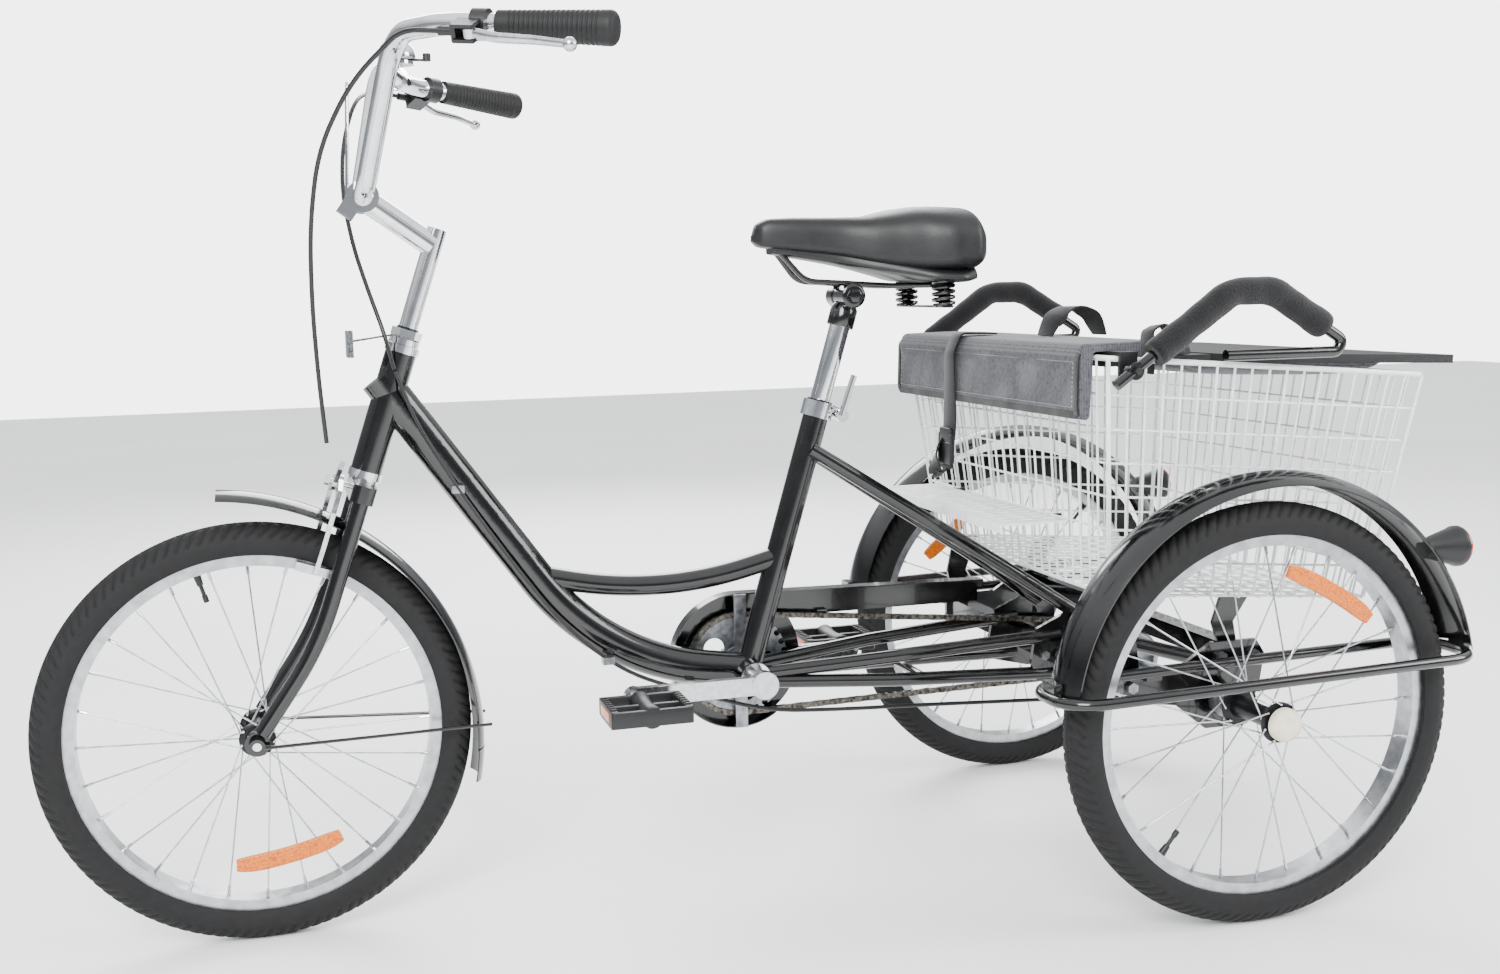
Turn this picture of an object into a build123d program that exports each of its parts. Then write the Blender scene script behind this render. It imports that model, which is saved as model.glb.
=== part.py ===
from build123d import *
import math
import os

os.makedirs("parts", exist_ok=True)

# Adult tricycle. +X forward, +Y left, +Z up, millimetres. While it is built, x is counted from the rear axle;
# emit() then moves everything so that the origin lies on the ground under the middle of the length.

# ---- wheels -------------------------------------------------------------------------------------------------
WHEELBASE = 1113.0
TRACK = 640.0
TYRE_R = 247.0
TYRE_W = 46.0
TYRE_WALL = 6.0
RIM_R = 211.0
RIM_DEPTH = 13.0
RIM_W = 26.0
RIM_WALL = 3.0
SPOKES = 28
SPOKE_R = 1.0
SPOKE_CROSS = 2
FIT = 0.05
GAP = 0.4

# ---- hubs and axles -----------------------------------------------------------------------------------------
FRONT_AXLE_R = 5.0
FRONT_FLANGE_R = 20.5
FRONT_FLANGE_Y = 30.0
FRONT_HUB_HALF = 42.0
REAR_AXLE_R = 7.5
REAR_FLANGE_R = 23.5
REAR_FLANGE_Y = 37.5
REAR_HUB_HALF = 45.0
FLANGE_T = 3.0
HUB_BARREL_R = 14.0
CAP_R = 19.5
CAP_LENGTH = 16.0

# ---- front end ----------------------------------------------------------------------------------------------
HEAD_X = 974.0
HEAD_Z = 546.0
HEAD_ANGLE = 71.1
HEAD_LENGTH = 142.0
HEAD_R = 18.0
STEERER_R = 12.7
QUILL_R = 11.0
CUP_H = 9.0
CROWN_DROP = 22.5
BLADE_Y = 55.0
BLADE_R = 9.5
STEM_RISE = 148.0
BAR_R = 11.1
CLAMP_X = 963.0
CLAMP_Z = 857.0
GRIP_LENGTH = 122.0
GRIP_R1 = 14.5
GRIP_R2 = 17.5

# ---- main frame and drive -----------------------------------------------------------------------------------
BB_X = 518.0
BB_Z = 267.0
BB_HALF = 34.0
SEAT_TOP_X = 417.0
SEAT_TOP_Z = 605.0
SEAT_TUBE_R = 16.0
POST_R = 12.7
POST_OUT = 122.0
CRANK = 162.0
CHAIN_Y = -45.0
PITCH = 12.7
RING_TEETH = 32
COG_TEETH = 18
STAY_Y = 62.0

# ---- rear end and basket ------------------------------------------------------------------------------------
PLATE_Y = 250.0
PLATE_T = 6.0
CROSS_TUBE = 25.0
BASKET_X = -23.0
BASKET_Z = 366.0
BASKET_TILT = 4.5
BASKET_H = 277.0
BASKET_BOTTOM_HALF = 242.0
BASKET_TOP_HALF = 286.0
BASKET_FRONT = (174.0, 226.0)
BASKET_REAR = (-174.0, -190.0)
WIRE = 3.0
RIM_ROD = 6.0
BOARD_T = 10.0
BOARD_HALF = 266.0
BOARD_HINGE_X = 30.0
BOARD_REAR_X = -292.0
ARM_Y = 306.0

X_FRONT = WHEELBASE + TYRE_R
X_REAR = BOARD_REAR_X
X_SHIFT = -(X_FRONT + X_REAR) / 2

AXLE_Z = TYRE_R
STEER = Vector(-math.cos(math.radians(HEAD_ANGLE)), 0, math.sin(math.radians(HEAD_ANGLE)))
STEER_FORWARD = Vector(STEER.Z, 0, -STEER.X)
SEAT_DIR = Vector(SEAT_TOP_X - BB_X, 0, SEAT_TOP_Z - BB_Z).normalized()
FRONT_HUB = Vector(WHEELBASE, 0, AXLE_Z)


def emit(name, *shapes):
    """Write one node, moved so that the origin is under the middle of the length."""
    solids = [s for shape in shapes for s in shape.solids()]
    group = Compound(children=[s.moved(Location((X_SHIFT, 0, 0))) for s in solids])
    export_step(group, f"parts/{name}.step")


def rod(a, b, r, inner=0.0):
    """Round bar or tube from a to b."""
    a, b = Vector(*a), Vector(*b)
    plane = Plane(origin=a, z_dir=b - a)
    bar = plane * extrude(Circle(r), (b - a).length)
    if inner:
        bar -= plane * extrude(Circle(inner), (b - a).length)
    return bar


def route(points, radii):
    """Straight runs joined by tangent arcs."""
    return FilletPolyline(*points, radius=radii)


def tube(points, radii, r):
    """Round bar along straight runs and tangent arcs."""
    path = route(points, radii)
    return sweep(Plane(origin=path @ 0, z_dir=path % 0) * Circle(r), path=path)


def easy_radii(points, share=0.45):
    """Arc radii as large as the two runs at each corner allow."""
    radii = []
    vectors = [Vector(*p) for p in points]
    for before, here, after in zip(vectors, vectors[1:], vectors[2:]):
        turn = math.radians((here - before).get_angle(after - here))
        run = min((here - before).length, (after - here).length)
        radii.append(share * run / math.tan(turn / 2))
    return radii


def block(centre, size):
    """Box by its centre and size."""
    return Pos(*centre) * Box(*size)


def ring(centre, r, inner, width):
    """Washer or bush whose axis is along Y."""
    x, y, z = centre
    return rod((x, y - width / 2, z), (x, y + width / 2, z), r, inner)


def plate_xz(points, y, thickness):
    """Flat plate in the XZ plane from its outline, centred on y."""
    outline = Polyline(*[(x, y + thickness / 2, z) for x, z in points], close=True)
    return extrude(make_face(outline), thickness, dir=(0, -1, 0))


def mirror_y(shape):
    """The same piece on the other side."""
    return mirror(shape, about=Plane.XZ)


def at_steer(along, forward=0.0, y=0.0):
    """Point on the steering axis: along it upwards from the foot of the head tube, and forward of it."""
    return Vector(HEAD_X, y, HEAD_Z) + STEER * along + STEER_FORWARD * forward


# ---- wheels -------------------------------------------------------------------------------------------------
def revolve_profile(profile):
    """Turn a profile drawn with radius along X and width along Y about the Y axis."""
    return revolve(profile, axis=Axis.Y)


def tyre():
    """Round-section casing, open towards the rim."""
    middle = TYRE_R - TYRE_W / 2
    section = Pos(middle, 0) * (Circle(TYRE_W / 2) - Circle(TYRE_W / 2 - TYRE_WALL))
    section -= Pos(RIM_R / 2, 0) * Rectangle(RIM_R, TYRE_W)
    return revolve_profile(section)


def rim():
    """Alloy rim with a channel that faces the tyre."""
    band = Pos(RIM_R - RIM_DEPTH / 2, 0) * Rectangle(RIM_DEPTH, RIM_W)
    channel_depth = RIM_DEPTH - RIM_WALL - 2
    band -= Pos(RIM_R - channel_depth / 2, 0) * Rectangle(channel_depth, RIM_W - 2 * RIM_WALL)
    return revolve_profile(band)


def spokes(flange_r, flange_y):
    """Crossed spokes; each side's leading and trailing spokes leave opposite faces of the flange."""
    made = []
    step = 720.0 / SPOKES
    for i in range(SPOKES):
        side = 1 if i % 2 else -1
        pair = i // 2
        outward = 1 if pair % 2 else -1
        rim_angle = math.radians(pair * step + (step / 2 if side > 0 else 0))
        hub_angle = rim_angle + outward * SPOKE_CROSS * math.radians(step)
        clear = 0.6 if outward > 0 else 0.0
        hub_y = side * (flange_y + clear + outward * (FLANGE_T / 2 + SPOKE_R))
        start_r = flange_r - 3
        end_r = RIM_R - RIM_DEPTH - 0.3
        made.append(
            rod(
                (start_r * math.cos(hub_angle), hub_y, start_r * math.sin(hub_angle)),
                (end_r * math.cos(rim_angle), side * 2.0, end_r * math.sin(rim_angle)),
                SPOKE_R,
            )
        )
    return made


def hub(flange_r, flange_y, half, bore_r):
    """Hub shell with two drilled flanges."""
    shell = rod((0, -half, 0), (0, half, 0), HUB_BARREL_R)
    for side in (-1, 1):
        shell += ring((0, side * flange_y, 0), flange_r, HUB_BARREL_R - 1, FLANGE_T)
    for k in range(6):
        angle = math.tau * k / 6
        x, z = (HUB_BARREL_R + 3) * math.cos(angle), (HUB_BARREL_R + 3) * math.sin(angle)
        shell -= rod((x, -half, z), (x, half, z), 2.0)
    return shell - rod((0, -half, 0), (0, half, 0), bore_r)


def hub_cap(side):
    """Domed plastic cap pressed on the outer end of a rear hub."""
    inner_y = REAR_HUB_HALF
    shoulder, top = inner_y + CAP_LENGTH * 0.5, inner_y + CAP_LENGTH
    dome = Polyline((0, top), (0, inner_y + 11), (14, inner_y + 11), (14, inner_y), (CAP_R, inner_y), (CAP_R, shoulder))
    dome += ThreePointArc((CAP_R, shoulder), (CAP_R * 0.74, top - 2.4), (5, top))
    dome += Line((5, top), (0, top))
    cap = revolve_profile(make_face(dome))
    return cap if side > 0 else mirror_y(cap)


def write_wheels():
    """Front wheel, and the two rear wheels on their axle."""
    front = Location((WHEELBASE, 0, AXLE_Z))
    emit("front_tyre", tyre().moved(front))
    emit("front_rim", rim().moved(front))
    front_hub = hub(FRONT_FLANGE_R, FRONT_FLANGE_Y, FRONT_HUB_HALF, FRONT_AXLE_R + FIT)
    front_spokes = spokes(FRONT_FLANGE_R, FRONT_FLANGE_Y)
    emit("front_hub", *[s.moved(front) for s in [front_hub] + front_spokes])
    rear_spokes = spokes(REAR_FLANGE_R, REAR_FLANGE_Y)
    for name, side in (("left", 1), ("right", -1)):
        place = Location((0, side * TRACK / 2, AXLE_Z))
        emit(f"{name}_tyre", tyre().moved(place))
        emit(f"{name}_rim", rim().moved(place))
        rear_hub = hub(REAR_FLANGE_R, REAR_FLANGE_Y, REAR_HUB_HALF, REAR_AXLE_R + FIT)
        emit(f"{name}_hub", *[s.moved(place) for s in [rear_hub, hub_cap(side)] + rear_spokes])


# ---- fork, headset, stem and bars ---------------------------------------------------------------------------
FORK_END_Y = 51.0


def blade(side):
    """One fork blade, from the crown along the steering axis and then forward to the axle."""
    top = at_steer(-CROWN_DROP, 0, side * BLADE_Y)
    bend = at_steer(-200, 0, side * BLADE_Y)
    foot = Vector(WHEELBASE - 6, side * (BLADE_Y - 2), AXLE_Z + 12)
    return tube([top, bend, foot], [350], BLADE_R)


def fork():
    """Steerer, crown, two blades and two dropouts, welded."""
    steerer = rod(at_steer(-CROWN_DROP), at_steer(HEAD_LENGTH + 30), STEERER_R)
    crown_plane = Plane(origin=at_steer(-CROWN_DROP), x_dir=STEER_FORWARD, z_dir=STEER)
    crown = crown_plane * fillet(Box(27, 2 * BLADE_Y + 22, 20).edges().filter_by(Axis.Z), 9)
    body = steerer + crown
    for side in (1, -1):
        lug = rod(
            (WHEELBASE, side * (FORK_END_Y - 3), AXLE_Z), (WHEELBASE, side * (FORK_END_Y + 3), AXLE_Z), 14
        )
        body += blade(side) + lug
    body -= rod((WHEELBASE, -70, AXLE_Z), (WHEELBASE, 70, AXLE_Z), FRONT_AXLE_R)
    return body - rod(at_steer(10), at_steer(HEAD_LENGTH + 31), QUILL_R + FIT)


def hexagon(a, b, across):
    """Nut or bolt head from a to b."""
    a, b = Vector(*a), Vector(*b)
    return Plane(origin=a, z_dir=b - a) * extrude(RegularPolygon(across / 2, 6, major_radius=False), (b - a).length)


def front_axle():
    """Fixed axle with a nut outside each dropout."""
    end = FORK_END_Y + 3
    axle = rod((WHEELBASE, -end - 11, AXLE_Z), (WHEELBASE, end + 11, AXLE_Z), FRONT_AXLE_R)
    for side in (1, -1):
        axle += hexagon((WHEELBASE, side * end, AXLE_Z), (WHEELBASE, side * (end + 8), AXLE_Z), 15)
        axle += ring((WHEELBASE, side * (FORK_END_Y + FRONT_HUB_HALF - 2.6) / 2, AXLE_Z), 7.5, 0, 5.4)
    return axle


def headset_nuts():
    """Crown race below; threaded race, reflector washer and locknut above."""
    above = HEAD_LENGTH + CUP_H + GAP
    race = rod(at_steer(-CROWN_DROP + 10), at_steer(-CUP_H - GAP), HEAD_R - 1, STEERER_R + 0.02)
    low = rod(at_steer(above), at_steer(above + 7), HEAD_R - 0.5, STEERER_R)
    nut = hexagon(at_steer(above + 9), at_steer(above + 18), 31)
    nut -= rod(at_steer(above), at_steer(above + 20), STEERER_R)
    return race, low, nut


def stem():
    """Quill, forward arm and bar clamp."""
    quill = rod(at_steer(40), at_steer(HEAD_LENGTH + STEM_RISE), QUILL_R)
    root = at_steer(HEAD_LENGTH + STEM_RISE - 20)
    tip = Vector(CLAMP_X, 0, CLAMP_Z)
    arm = rod(root, tip, 14)
    eye = rod((CLAMP_X, -21, CLAMP_Z), (CLAMP_X, 21, CLAMP_Z), 18)
    clamp_plane = Plane(origin=tip, x_dir=(tip - root), z_dir=(0, 1, 0))
    ears = clamp_plane * Pos(5, 20, 0) * Box(20, 18, 30)
    bolt = clamp_plane * Pos(5, 24, 0) * Cylinder(3.5, 40)
    body = quill + arm + eye + ears + bolt
    return body - rod((CLAMP_X, -22, CLAMP_Z), (CLAMP_X, 22, CLAMP_Z), BAR_R + FIT)


GRIP_IN = Vector(838, 264, 1006)
GRIP_DIR = Vector(-0.866, 0.494, -0.087).normalized()
BAR_BEND = GRIP_IN - GRIP_DIR * 58
BAR_TOP = Vector(928, 116, 1020)


def handlebar():
    """High-rise bar, one tube from grip to grip."""
    left = [
        GRIP_IN + GRIP_DIR * (GRIP_LENGTH - 6),
        BAR_BEND,
        BAR_TOP,
        Vector(CLAMP_X, 46, CLAMP_Z),
    ]
    right = [Vector(p.X, -p.Y, p.Z) for p in reversed(left)]
    return tube(left + right, [70, 62, 34, 34, 62, 70], BAR_R)


def grip(side):
    """Tapered grip with a closed outer end, blind-bored for the bar."""
    plane = Plane(origin=GRIP_IN, z_dir=GRIP_DIR)
    round_at = GRIP_LENGTH - 7
    half = Polyline((0, GRIP_LENGTH), (0, 0), (GRIP_R1, 0), (GRIP_R2, round_at))
    half += ThreePointArc((GRIP_R2, round_at), (GRIP_R2 - 2, GRIP_LENGTH - 2), (GRIP_R2 - 7, GRIP_LENGTH))
    half += Line((GRIP_R2 - 7, GRIP_LENGTH), (0, GRIP_LENGTH))
    cone = plane * revolve(Plane.XZ * make_face(half), axis=Axis.Z)
    cone -= plane * extrude(Circle(BAR_R + FIT), GRIP_LENGTH - 5.5)
    return cone if side > 0 else mirror_y(cone)


# Brake lever frame on the left: along the bar, and forward of it with a little drop.
LEVER_AT = GRIP_IN - GRIP_DIR * 18
LEVER_OUT = (Vector(0.494, 0.866, 0) * 0.92 + Vector(0, 0, -0.39))
LEVER_OUT = (LEVER_OUT - GRIP_DIR * LEVER_OUT.dot(GRIP_DIR)).normalized()
LEVER_AXIS = LEVER_OUT.cross(GRIP_DIR)
LEVER_PIVOT = LEVER_AT + LEVER_OUT * 31
LEVER_SWING = 15.0


def lever_point(along, out, up=0.0):
    """Point near the left lever, from the bracket's place on the bar."""
    return LEVER_AT + GRIP_DIR * along + LEVER_OUT * out + LEVER_AXIS * up


def lever_bracket(side):
    """Bar clamp, fork-shaped arm, pivot pin and barrel adjuster."""
    band = rod(lever_point(-8, 0), lever_point(8, 0), BAR_R + 4.5)
    band -= rod(lever_point(-9, 0), lever_point(9, 0), BAR_R + FIT)
    cheek_plane = Plane(origin=lever_point(-6, 26), x_dir=LEVER_OUT, z_dir=LEVER_AXIS)
    body = band
    for up in (1, -1):
        body += cheek_plane * Pos(-2, 0, up * 7.25) * Box(26, 22, 3.5)
    body += cheek_plane * Pos(-4, -11, 0) * Box(22, 5, 18)
    body += rod(lever_point(0, 31, -9), lever_point(0, 31, 9), 2.9)
    body += rod(lever_point(-17, 27), lever_point(-34, 27), 4.5)
    return body if side > 0 else mirror_y(body)


def brake_lever(side):
    """Alloy blade with a round boss on the pivot and a ball end."""
    boss = rod(lever_point(0, 31, -4.9), lever_point(0, 31, 4.9), 7)
    blade_path = [(0, 31), (34, 46), (74, 50), (112, 60)]
    points = [lever_point(a, o) for a, o in blade_path]
    body = boss + tube(points, easy_radii(points), 4.6)
    body += Pos(*points[-1]) * Sphere(7)
    body -= rod(lever_point(0, 31, -6), lever_point(0, 31, 6), 2.95)
    return body if side > 0 else mirror_y(body)


BELL_DIR = (BAR_BEND - BAR_TOP).normalized()
BELL_AT = BAR_TOP + BELL_DIR * 88


def bell_point(up):
    """Point over the right bar, above the bell's clamp."""
    return Vector(BELL_AT.X, -BELL_AT.Y, BELL_AT.Z + up)


def bell():
    """Clamp band, foot and domed cover."""
    direction = Vector(BELL_DIR.X, -BELL_DIR.Y, BELL_DIR.Z)
    centre = bell_point(0)
    body = rod(centre - direction * 6, centre + direction * 6, BAR_R + 3)
    body += rod(bell_point(8), bell_point(18), 6)
    body += rod(bell_point(17), bell_point(21), 21)
    dome = Sphere(24) - Sphere(22) - Pos(0, 0, -24) * Box(50, 50, 48)
    cover = Pos(*bell_point(26)) * dome
    body += rod(bell_point(21), bell_point(49), 3)
    body -= rod(centre - direction * 40, centre + direction * 40, BAR_R + FIT)
    return body, cover - body


BELL_LEVER_AT = bell_point(23.5)


def bell_lever():
    """Thumb lever that turns between the bell's foot and its cover."""
    x, y, z = BELL_LEVER_AT
    lever = rod((x, y, z - 1.6), (x, y, z + 1.6), 7) + block((x - 18, y, z), (34, 6, 2.4))
    lever += rod((x - 37, y, z - 1.2), (x - 37, y, z + 8), 5)
    return lever - rod((x, y, z - 8), (x, y, z + 8), 3.1)


def front_reflector():
    """Rectangular reflector on a bent strip under the locknut."""
    above = HEAD_LENGTH + CUP_H + GAP
    strip_plane = Plane(origin=at_steer(above + 8), x_dir=STEER_FORWARD, z_dir=STEER)
    washer = strip_plane * (Cylinder(17, 1.8) - Cylinder(STEERER_R, 3))
    near = at_steer(above + 8, 14)
    strip = plate_xz([(near.X, near.Z - 1), (near.X, near.Z + 1), (983, 696), (983, 694)], 0, 14)
    face = block((985.5, 0, 692), (7, 46, 30))
    bracket = washer + strip - face
    for piece in headset_nuts():
        bracket -= piece
    return bracket.solids().sort_by(SortBy.VOLUME)[-1], face


def front_cable():
    """Front brake cable, left lever to caliper."""
    start = lever_point(-34, 27)
    points = [
        start,
        start - GRIP_DIR * 40,
        Vector(978, 176, 962),
        Vector(1012, 124, 898),
        Vector(1024, 90, 822),
        Vector(1026, 68, 738),
        Vector(1023, 54, 654),
        Vector(1018, 44, 584),
    ]
    return points


def rear_cable_upper():
    """Rear brake cable, right lever to the side of the head tube."""
    left = [lever_point(-34, 27), lever_point(-34, 27) - GRIP_DIR * 40]
    start = [Vector(p.X, -p.Y, p.Z) for p in left]
    return start + [
        Vector(956, -172, 985),
        Vector(976, -122, 926),
        Vector(981, -76, 862),
        Vector(973, -36, 800),
        Vector(960, -2, 748),
        Vector(948, 22, 706),
        Vector(937.8, 24.2, 662.5),
    ]


CABLE_R = 2.5


def cable(points):
    """Sheathed cable along its route."""
    return tube(points, easy_radii(points), CABLE_R)


REAR_CABLE = [
    (937, 24, 660),
    (918, 25.5, 604),
    (872, 25.5, 521),
    (808, 24, 424),
    (748, 22, 342),
    (676, 20, 283),
    (596, 20, 252),
    (500, 30, 222),
    (400, 34, 216),
    (300, 34, 212),
    (205, 34, 207),
    (128, 34, 203),
]


def cable_hoop():
    """Thin wire loop on the stem that keeps the cables forward."""
    base = Vector(CLAMP_X + 16, 0, CLAMP_Z + 5)
    top = Vector(CLAMP_X + 10, 0, CLAMP_Z + 126)
    loop = [base + Vector(0, 17, 0), top + Vector(0, 10, 0), top + Vector(0, -10, 0), base + Vector(0, -17, 0)]
    return tube(loop, [8, 8], 1.6) - stem()


# ---- front brake and mudguard -------------------------------------------------------------------------------
CALIPER = at_steer(-CROWN_DROP, 22)
CALIPER_DROP = 104.0
PAD_GAP = 2.2


def caliper_point(down, y):
    """Point in the caliper's plane."""
    return CALIPER - STEER * down + Vector(0, y, 0)


def caliper_arm(side, layer):
    """One side-pull arm with its brake block; the arms lie one behind the other on the centre bolt."""
    plane = Plane(origin=CALIPER, x_dir=(0, 1, 0), z_dir=STEER_FORWARD)
    outline = [(0, 8), (44, -4), (47, -30), (44, -74), (36, -CALIPER_DROP), (26, -CALIPER_DROP - 2)]
    outline += [(26, -CALIPER_DROP + 10), (33, -72), (34, -34), (32, -14), (0, -8)]
    arm = plane * extrude(make_face(Polyline(*[(side * y, z) for y, z in outline], close=True)), 5)
    arm += plane * extrude(Circle(10), 5)
    tail_z = 24 if side < 0 else 4
    tail = Polyline((0, 6), (40, tail_z + 5), (40, tail_z - 5), (0, -6), close=True)
    if side < 0:
        arm += plane * extrude(make_face(tail), 5)
    arm = arm.moved(Location(STEER_FORWARD * layer))
    arm -= rod(CALIPER - STEER_FORWARD * 5, CALIPER + STEER_FORWARD * 25, 3.3)
    middle = caliper_point(CALIPER_DROP - 2, side * (RIM_W / 2 + PAD_GAP + 5.5)) + STEER_FORWARD * 4
    block_plane = Plane(origin=middle, x_dir=(0, 1, 0), z_dir=STEER_FORWARD)
    pad = block_plane * Box(11, 10, 44)
    return arm - pad, pad


def caliper_bolt():
    """Centre bolt through the crown, with its nuts."""
    start = CALIPER - STEER_FORWARD * 8.5
    return rod(start, CALIPER + STEER_FORWARD * 20, 3.2) + hexagon(
        CALIPER + STEER_FORWARD * 14.5, CALIPER + STEER_FORWARD * 20, 11
    )


def guard_section(radius, half, drop, thickness):
    """Crowned strip drawn with radius along X and width along Y."""
    outer = ThreePointArc((radius - drop, -half), (radius, 0), (radius - drop, half))
    inner = ThreePointArc(
        (radius - drop - thickness, half), (radius - thickness, 0), (radius - drop - thickness, -half)
    )
    ends = Line((radius - drop, half), (radius - drop - thickness, half))
    ends += Line((radius - drop - thickness, -half), (radius - drop, -half))
    return make_face(outer + inner + ends)


def mudguard(centre, radius, half, drop, start, end):
    """Curved guard about an axis along Y, between two angles counted up from straight ahead."""
    strip = revolve(guard_section(radius, half, drop, 1.6), axis=Axis.Y, revolution_arc=end - start)
    return strip.moved(Location(centre, (0, 1, 0), -end))


FRONT_GUARD_C = (WHEELBASE + 45, 0, AXLE_Z - 21)
FRONT_GUARD_R = 307.0
REAR_GUARD_R = 272.0
REAR_GUARD_HALF = 32.0
RAIL_R = 6.5


def front_mudguard():
    """Guard, flap and the bracket that hangs it from the crown."""
    guard = mudguard(FRONT_GUARD_C, FRONT_GUARD_R, 27, 9, 93, 184)
    flap = mudguard(FRONT_GUARD_C, FRONT_GUARD_R + 0.2, 30, 9, 183.5, 191)
    guard += flap
    bracket = rod(at_steer(-CROWN_DROP - 10), at_steer(-CROWN_DROP - 46), 7) - guard
    return guard, bracket.solids().sort_by(Axis.Z)[-1]


def mudguard_stay():
    """Wire stay from the axle ends to the guard."""
    side_y = FORK_END_Y + 3 + 8 + 2.2
    foot = (WHEELBASE - 268, AXLE_Z - 8)
    points = [
        (WHEELBASE - 4, side_y, AXLE_Z - 2),
        (foot[0], 31, foot[1]),
    ]
    left = rod(points[0], points[1], 2) + ring((WHEELBASE, side_y, AXLE_Z), 9, 0, 4)
    left -= ring((WHEELBASE, side_y, AXLE_Z), FRONT_AXLE_R + 0.02, 0, 20)
    return left, mirror_y(left)


# ---- main frame ---------------------------------------------------------------------------------------------
def seat_point(along, side=0.0):
    """Point on the seat tube's axis, from the bottom bracket up."""
    return Vector(BB_X, side, BB_Z) + SEAT_DIR * along


SEAT_LENGTH = (Vector(SEAT_TOP_X, 0, SEAT_TOP_Z) - Vector(BB_X, 0, BB_Z)).length
MAIN_PATH = [(955, 0, 652), (704, 0, 297), (BB_X, 0, BB_Z + 2)]
CROSS_PATH = [(782, 0, 409), (625, 0, 373), (484, 0, 409)]


def front_frame():
    """Head tube, oval main tube, cross tube, seat tube and bottom bracket shell, welded."""
    path = route(MAIN_PATH, [310])
    oval = Plane(origin=path @ 0, x_dir=(0, 1, 0), z_dir=path % 0) * Ellipse(18, 22)
    frame = sweep(oval, path=path)
    frame += tube(CROSS_PATH, [480], 13)
    frame += rod(seat_point(0), seat_point(SEAT_LENGTH), SEAT_TUBE_R)
    frame += rod(at_steer(0), at_steer(HEAD_LENGTH), HEAD_R)
    frame += rod((BB_X, -BB_HALF, BB_Z), (BB_X, BB_HALF, BB_Z), 20)
    frame -= rod((BB_X, -BB_HALF - 1, BB_Z), (BB_X, BB_HALF + 1, BB_Z), 17)
    frame -= rod(seat_point(22), seat_point(SEAT_LENGTH + 1), POST_R + FIT)
    return frame - rod(at_steer(-1), at_steer(HEAD_LENGTH + 1), HEAD_R - 3)


DROPOUT = [(158, 262), (150, 306), (96, 330), (60, 326), (60, 232), (100, 226), (150, 238)]


def rear_stays(frame, carriage):
    """Seat stays, two pairs of chain stays and the dropout plates, welded in one."""
    stays = None
    for side in (1, -1):
        plate = plate_xz(DROPOUT, side * STAY_Y, 6)
        seat_stay = tube(
            [seat_point(SEAT_LENGTH - 62, side * 15), (180, side * 44, 381), (84, side * STAY_Y, 316)], [900], 9
        )
        upper = tube([(505, side * 24, 270), (335, side * 49, 283), (118, side * STAY_Y, 296)], [260], 8.5)
        lower = tube([(505, side * 24, 259), (335, side * 49, 252), (118, side * STAY_Y, 246)], [260], 8.5)
        group = plate + seat_stay + upper + lower
        stays = group if stays is None else stays + group
    stays += rod((300, -52, 252), (300, 52, 252), 6)
    stays -= rod(seat_point(0), seat_point(SEAT_LENGTH + 60), SEAT_TUBE_R)
    stays -= rod((BB_X, -60, BB_Z), (BB_X, 60, BB_Z), 20)
    stays = stays - frame - carriage
    return stays.solids().sort_by(SortBy.VOLUME)[-1]


def headset_cups():
    """The two cups pressed into the head tube."""
    low = rod(at_steer(-CUP_H), at_steer(0), HEAD_R + 1.5, STEERER_R + GAP)
    high = rod(at_steer(HEAD_LENGTH), at_steer(HEAD_LENGTH + CUP_H), HEAD_R + 1.5, STEERER_R + GAP)
    return low, high


def seat_collar():
    """Split clamp round the top of the seat tube, with its two ears and nut."""
    low, high = SEAT_LENGTH - 22, SEAT_LENGTH - 2
    collar = rod(seat_point(low), seat_point(high), SEAT_TUBE_R + 4)
    plane = Plane(origin=seat_point(SEAT_LENGTH - 12), x_dir=(-SEAT_DIR.Z, 0, SEAT_DIR.X), z_dir=SEAT_DIR)
    for side in (1, -1):
        collar += plane * Pos(24, side * 5, 0) * Box(16, 5, 18)
    collar -= rod(seat_point(low - 1), seat_point(high + 1), SEAT_TUBE_R + 0.02)
    bolt_at = seat_point(SEAT_LENGTH - 12) + Vector(-SEAT_DIR.Z, 0, SEAT_DIR.X) * 27
    pin = rod((bolt_at.X, -16, bolt_at.Z), (bolt_at.X, 16.5, bolt_at.Z), 3)
    pin += hexagon((bolt_at.X, -14, bolt_at.Z), (bolt_at.X, -7.6, bolt_at.Z), 11)
    return collar - pin, pin


QR_AT = seat_point(SEAT_LENGTH - 12) + Vector(-SEAT_DIR.Z, 0, SEAT_DIR.X) * 27


def qr_lever():
    """Cam lever of the seat clamp, closed along the seat tube."""
    x, z = QR_AT.X, QR_AT.Z
    cam = rod((x, 8.2, z), (x, 15.5, z), 8, 3 + GAP)
    tip = QR_AT + SEAT_DIR * 52
    arm = rod((x + 2, 20.5, z), (tip.X, 22, tip.Z), 4)
    head = rod((x, 15.4, z), (x, 21, z), 8, 0)
    return cam + arm + head - rod((x, 8, z), (x, 17, z), 3 + GAP)


# ---- saddle -------------------------------------------------------------------------------------------------
POST_TOP = SEAT_LENGTH + POST_OUT
SADDLE_SIDE = [
    (504, 806), (500, 826), (470, 831), (375, 829), (300, 842), (250, 842), (226, 820), (228, 775),
    (250, 757), (330, 764), (400, 782), (490, 792),
]
SADDLE_HALF = [(504, 12), (470, 22), (400, 34), (330, 74), (290, 98), (250, 104), (224, 84)]


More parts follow.
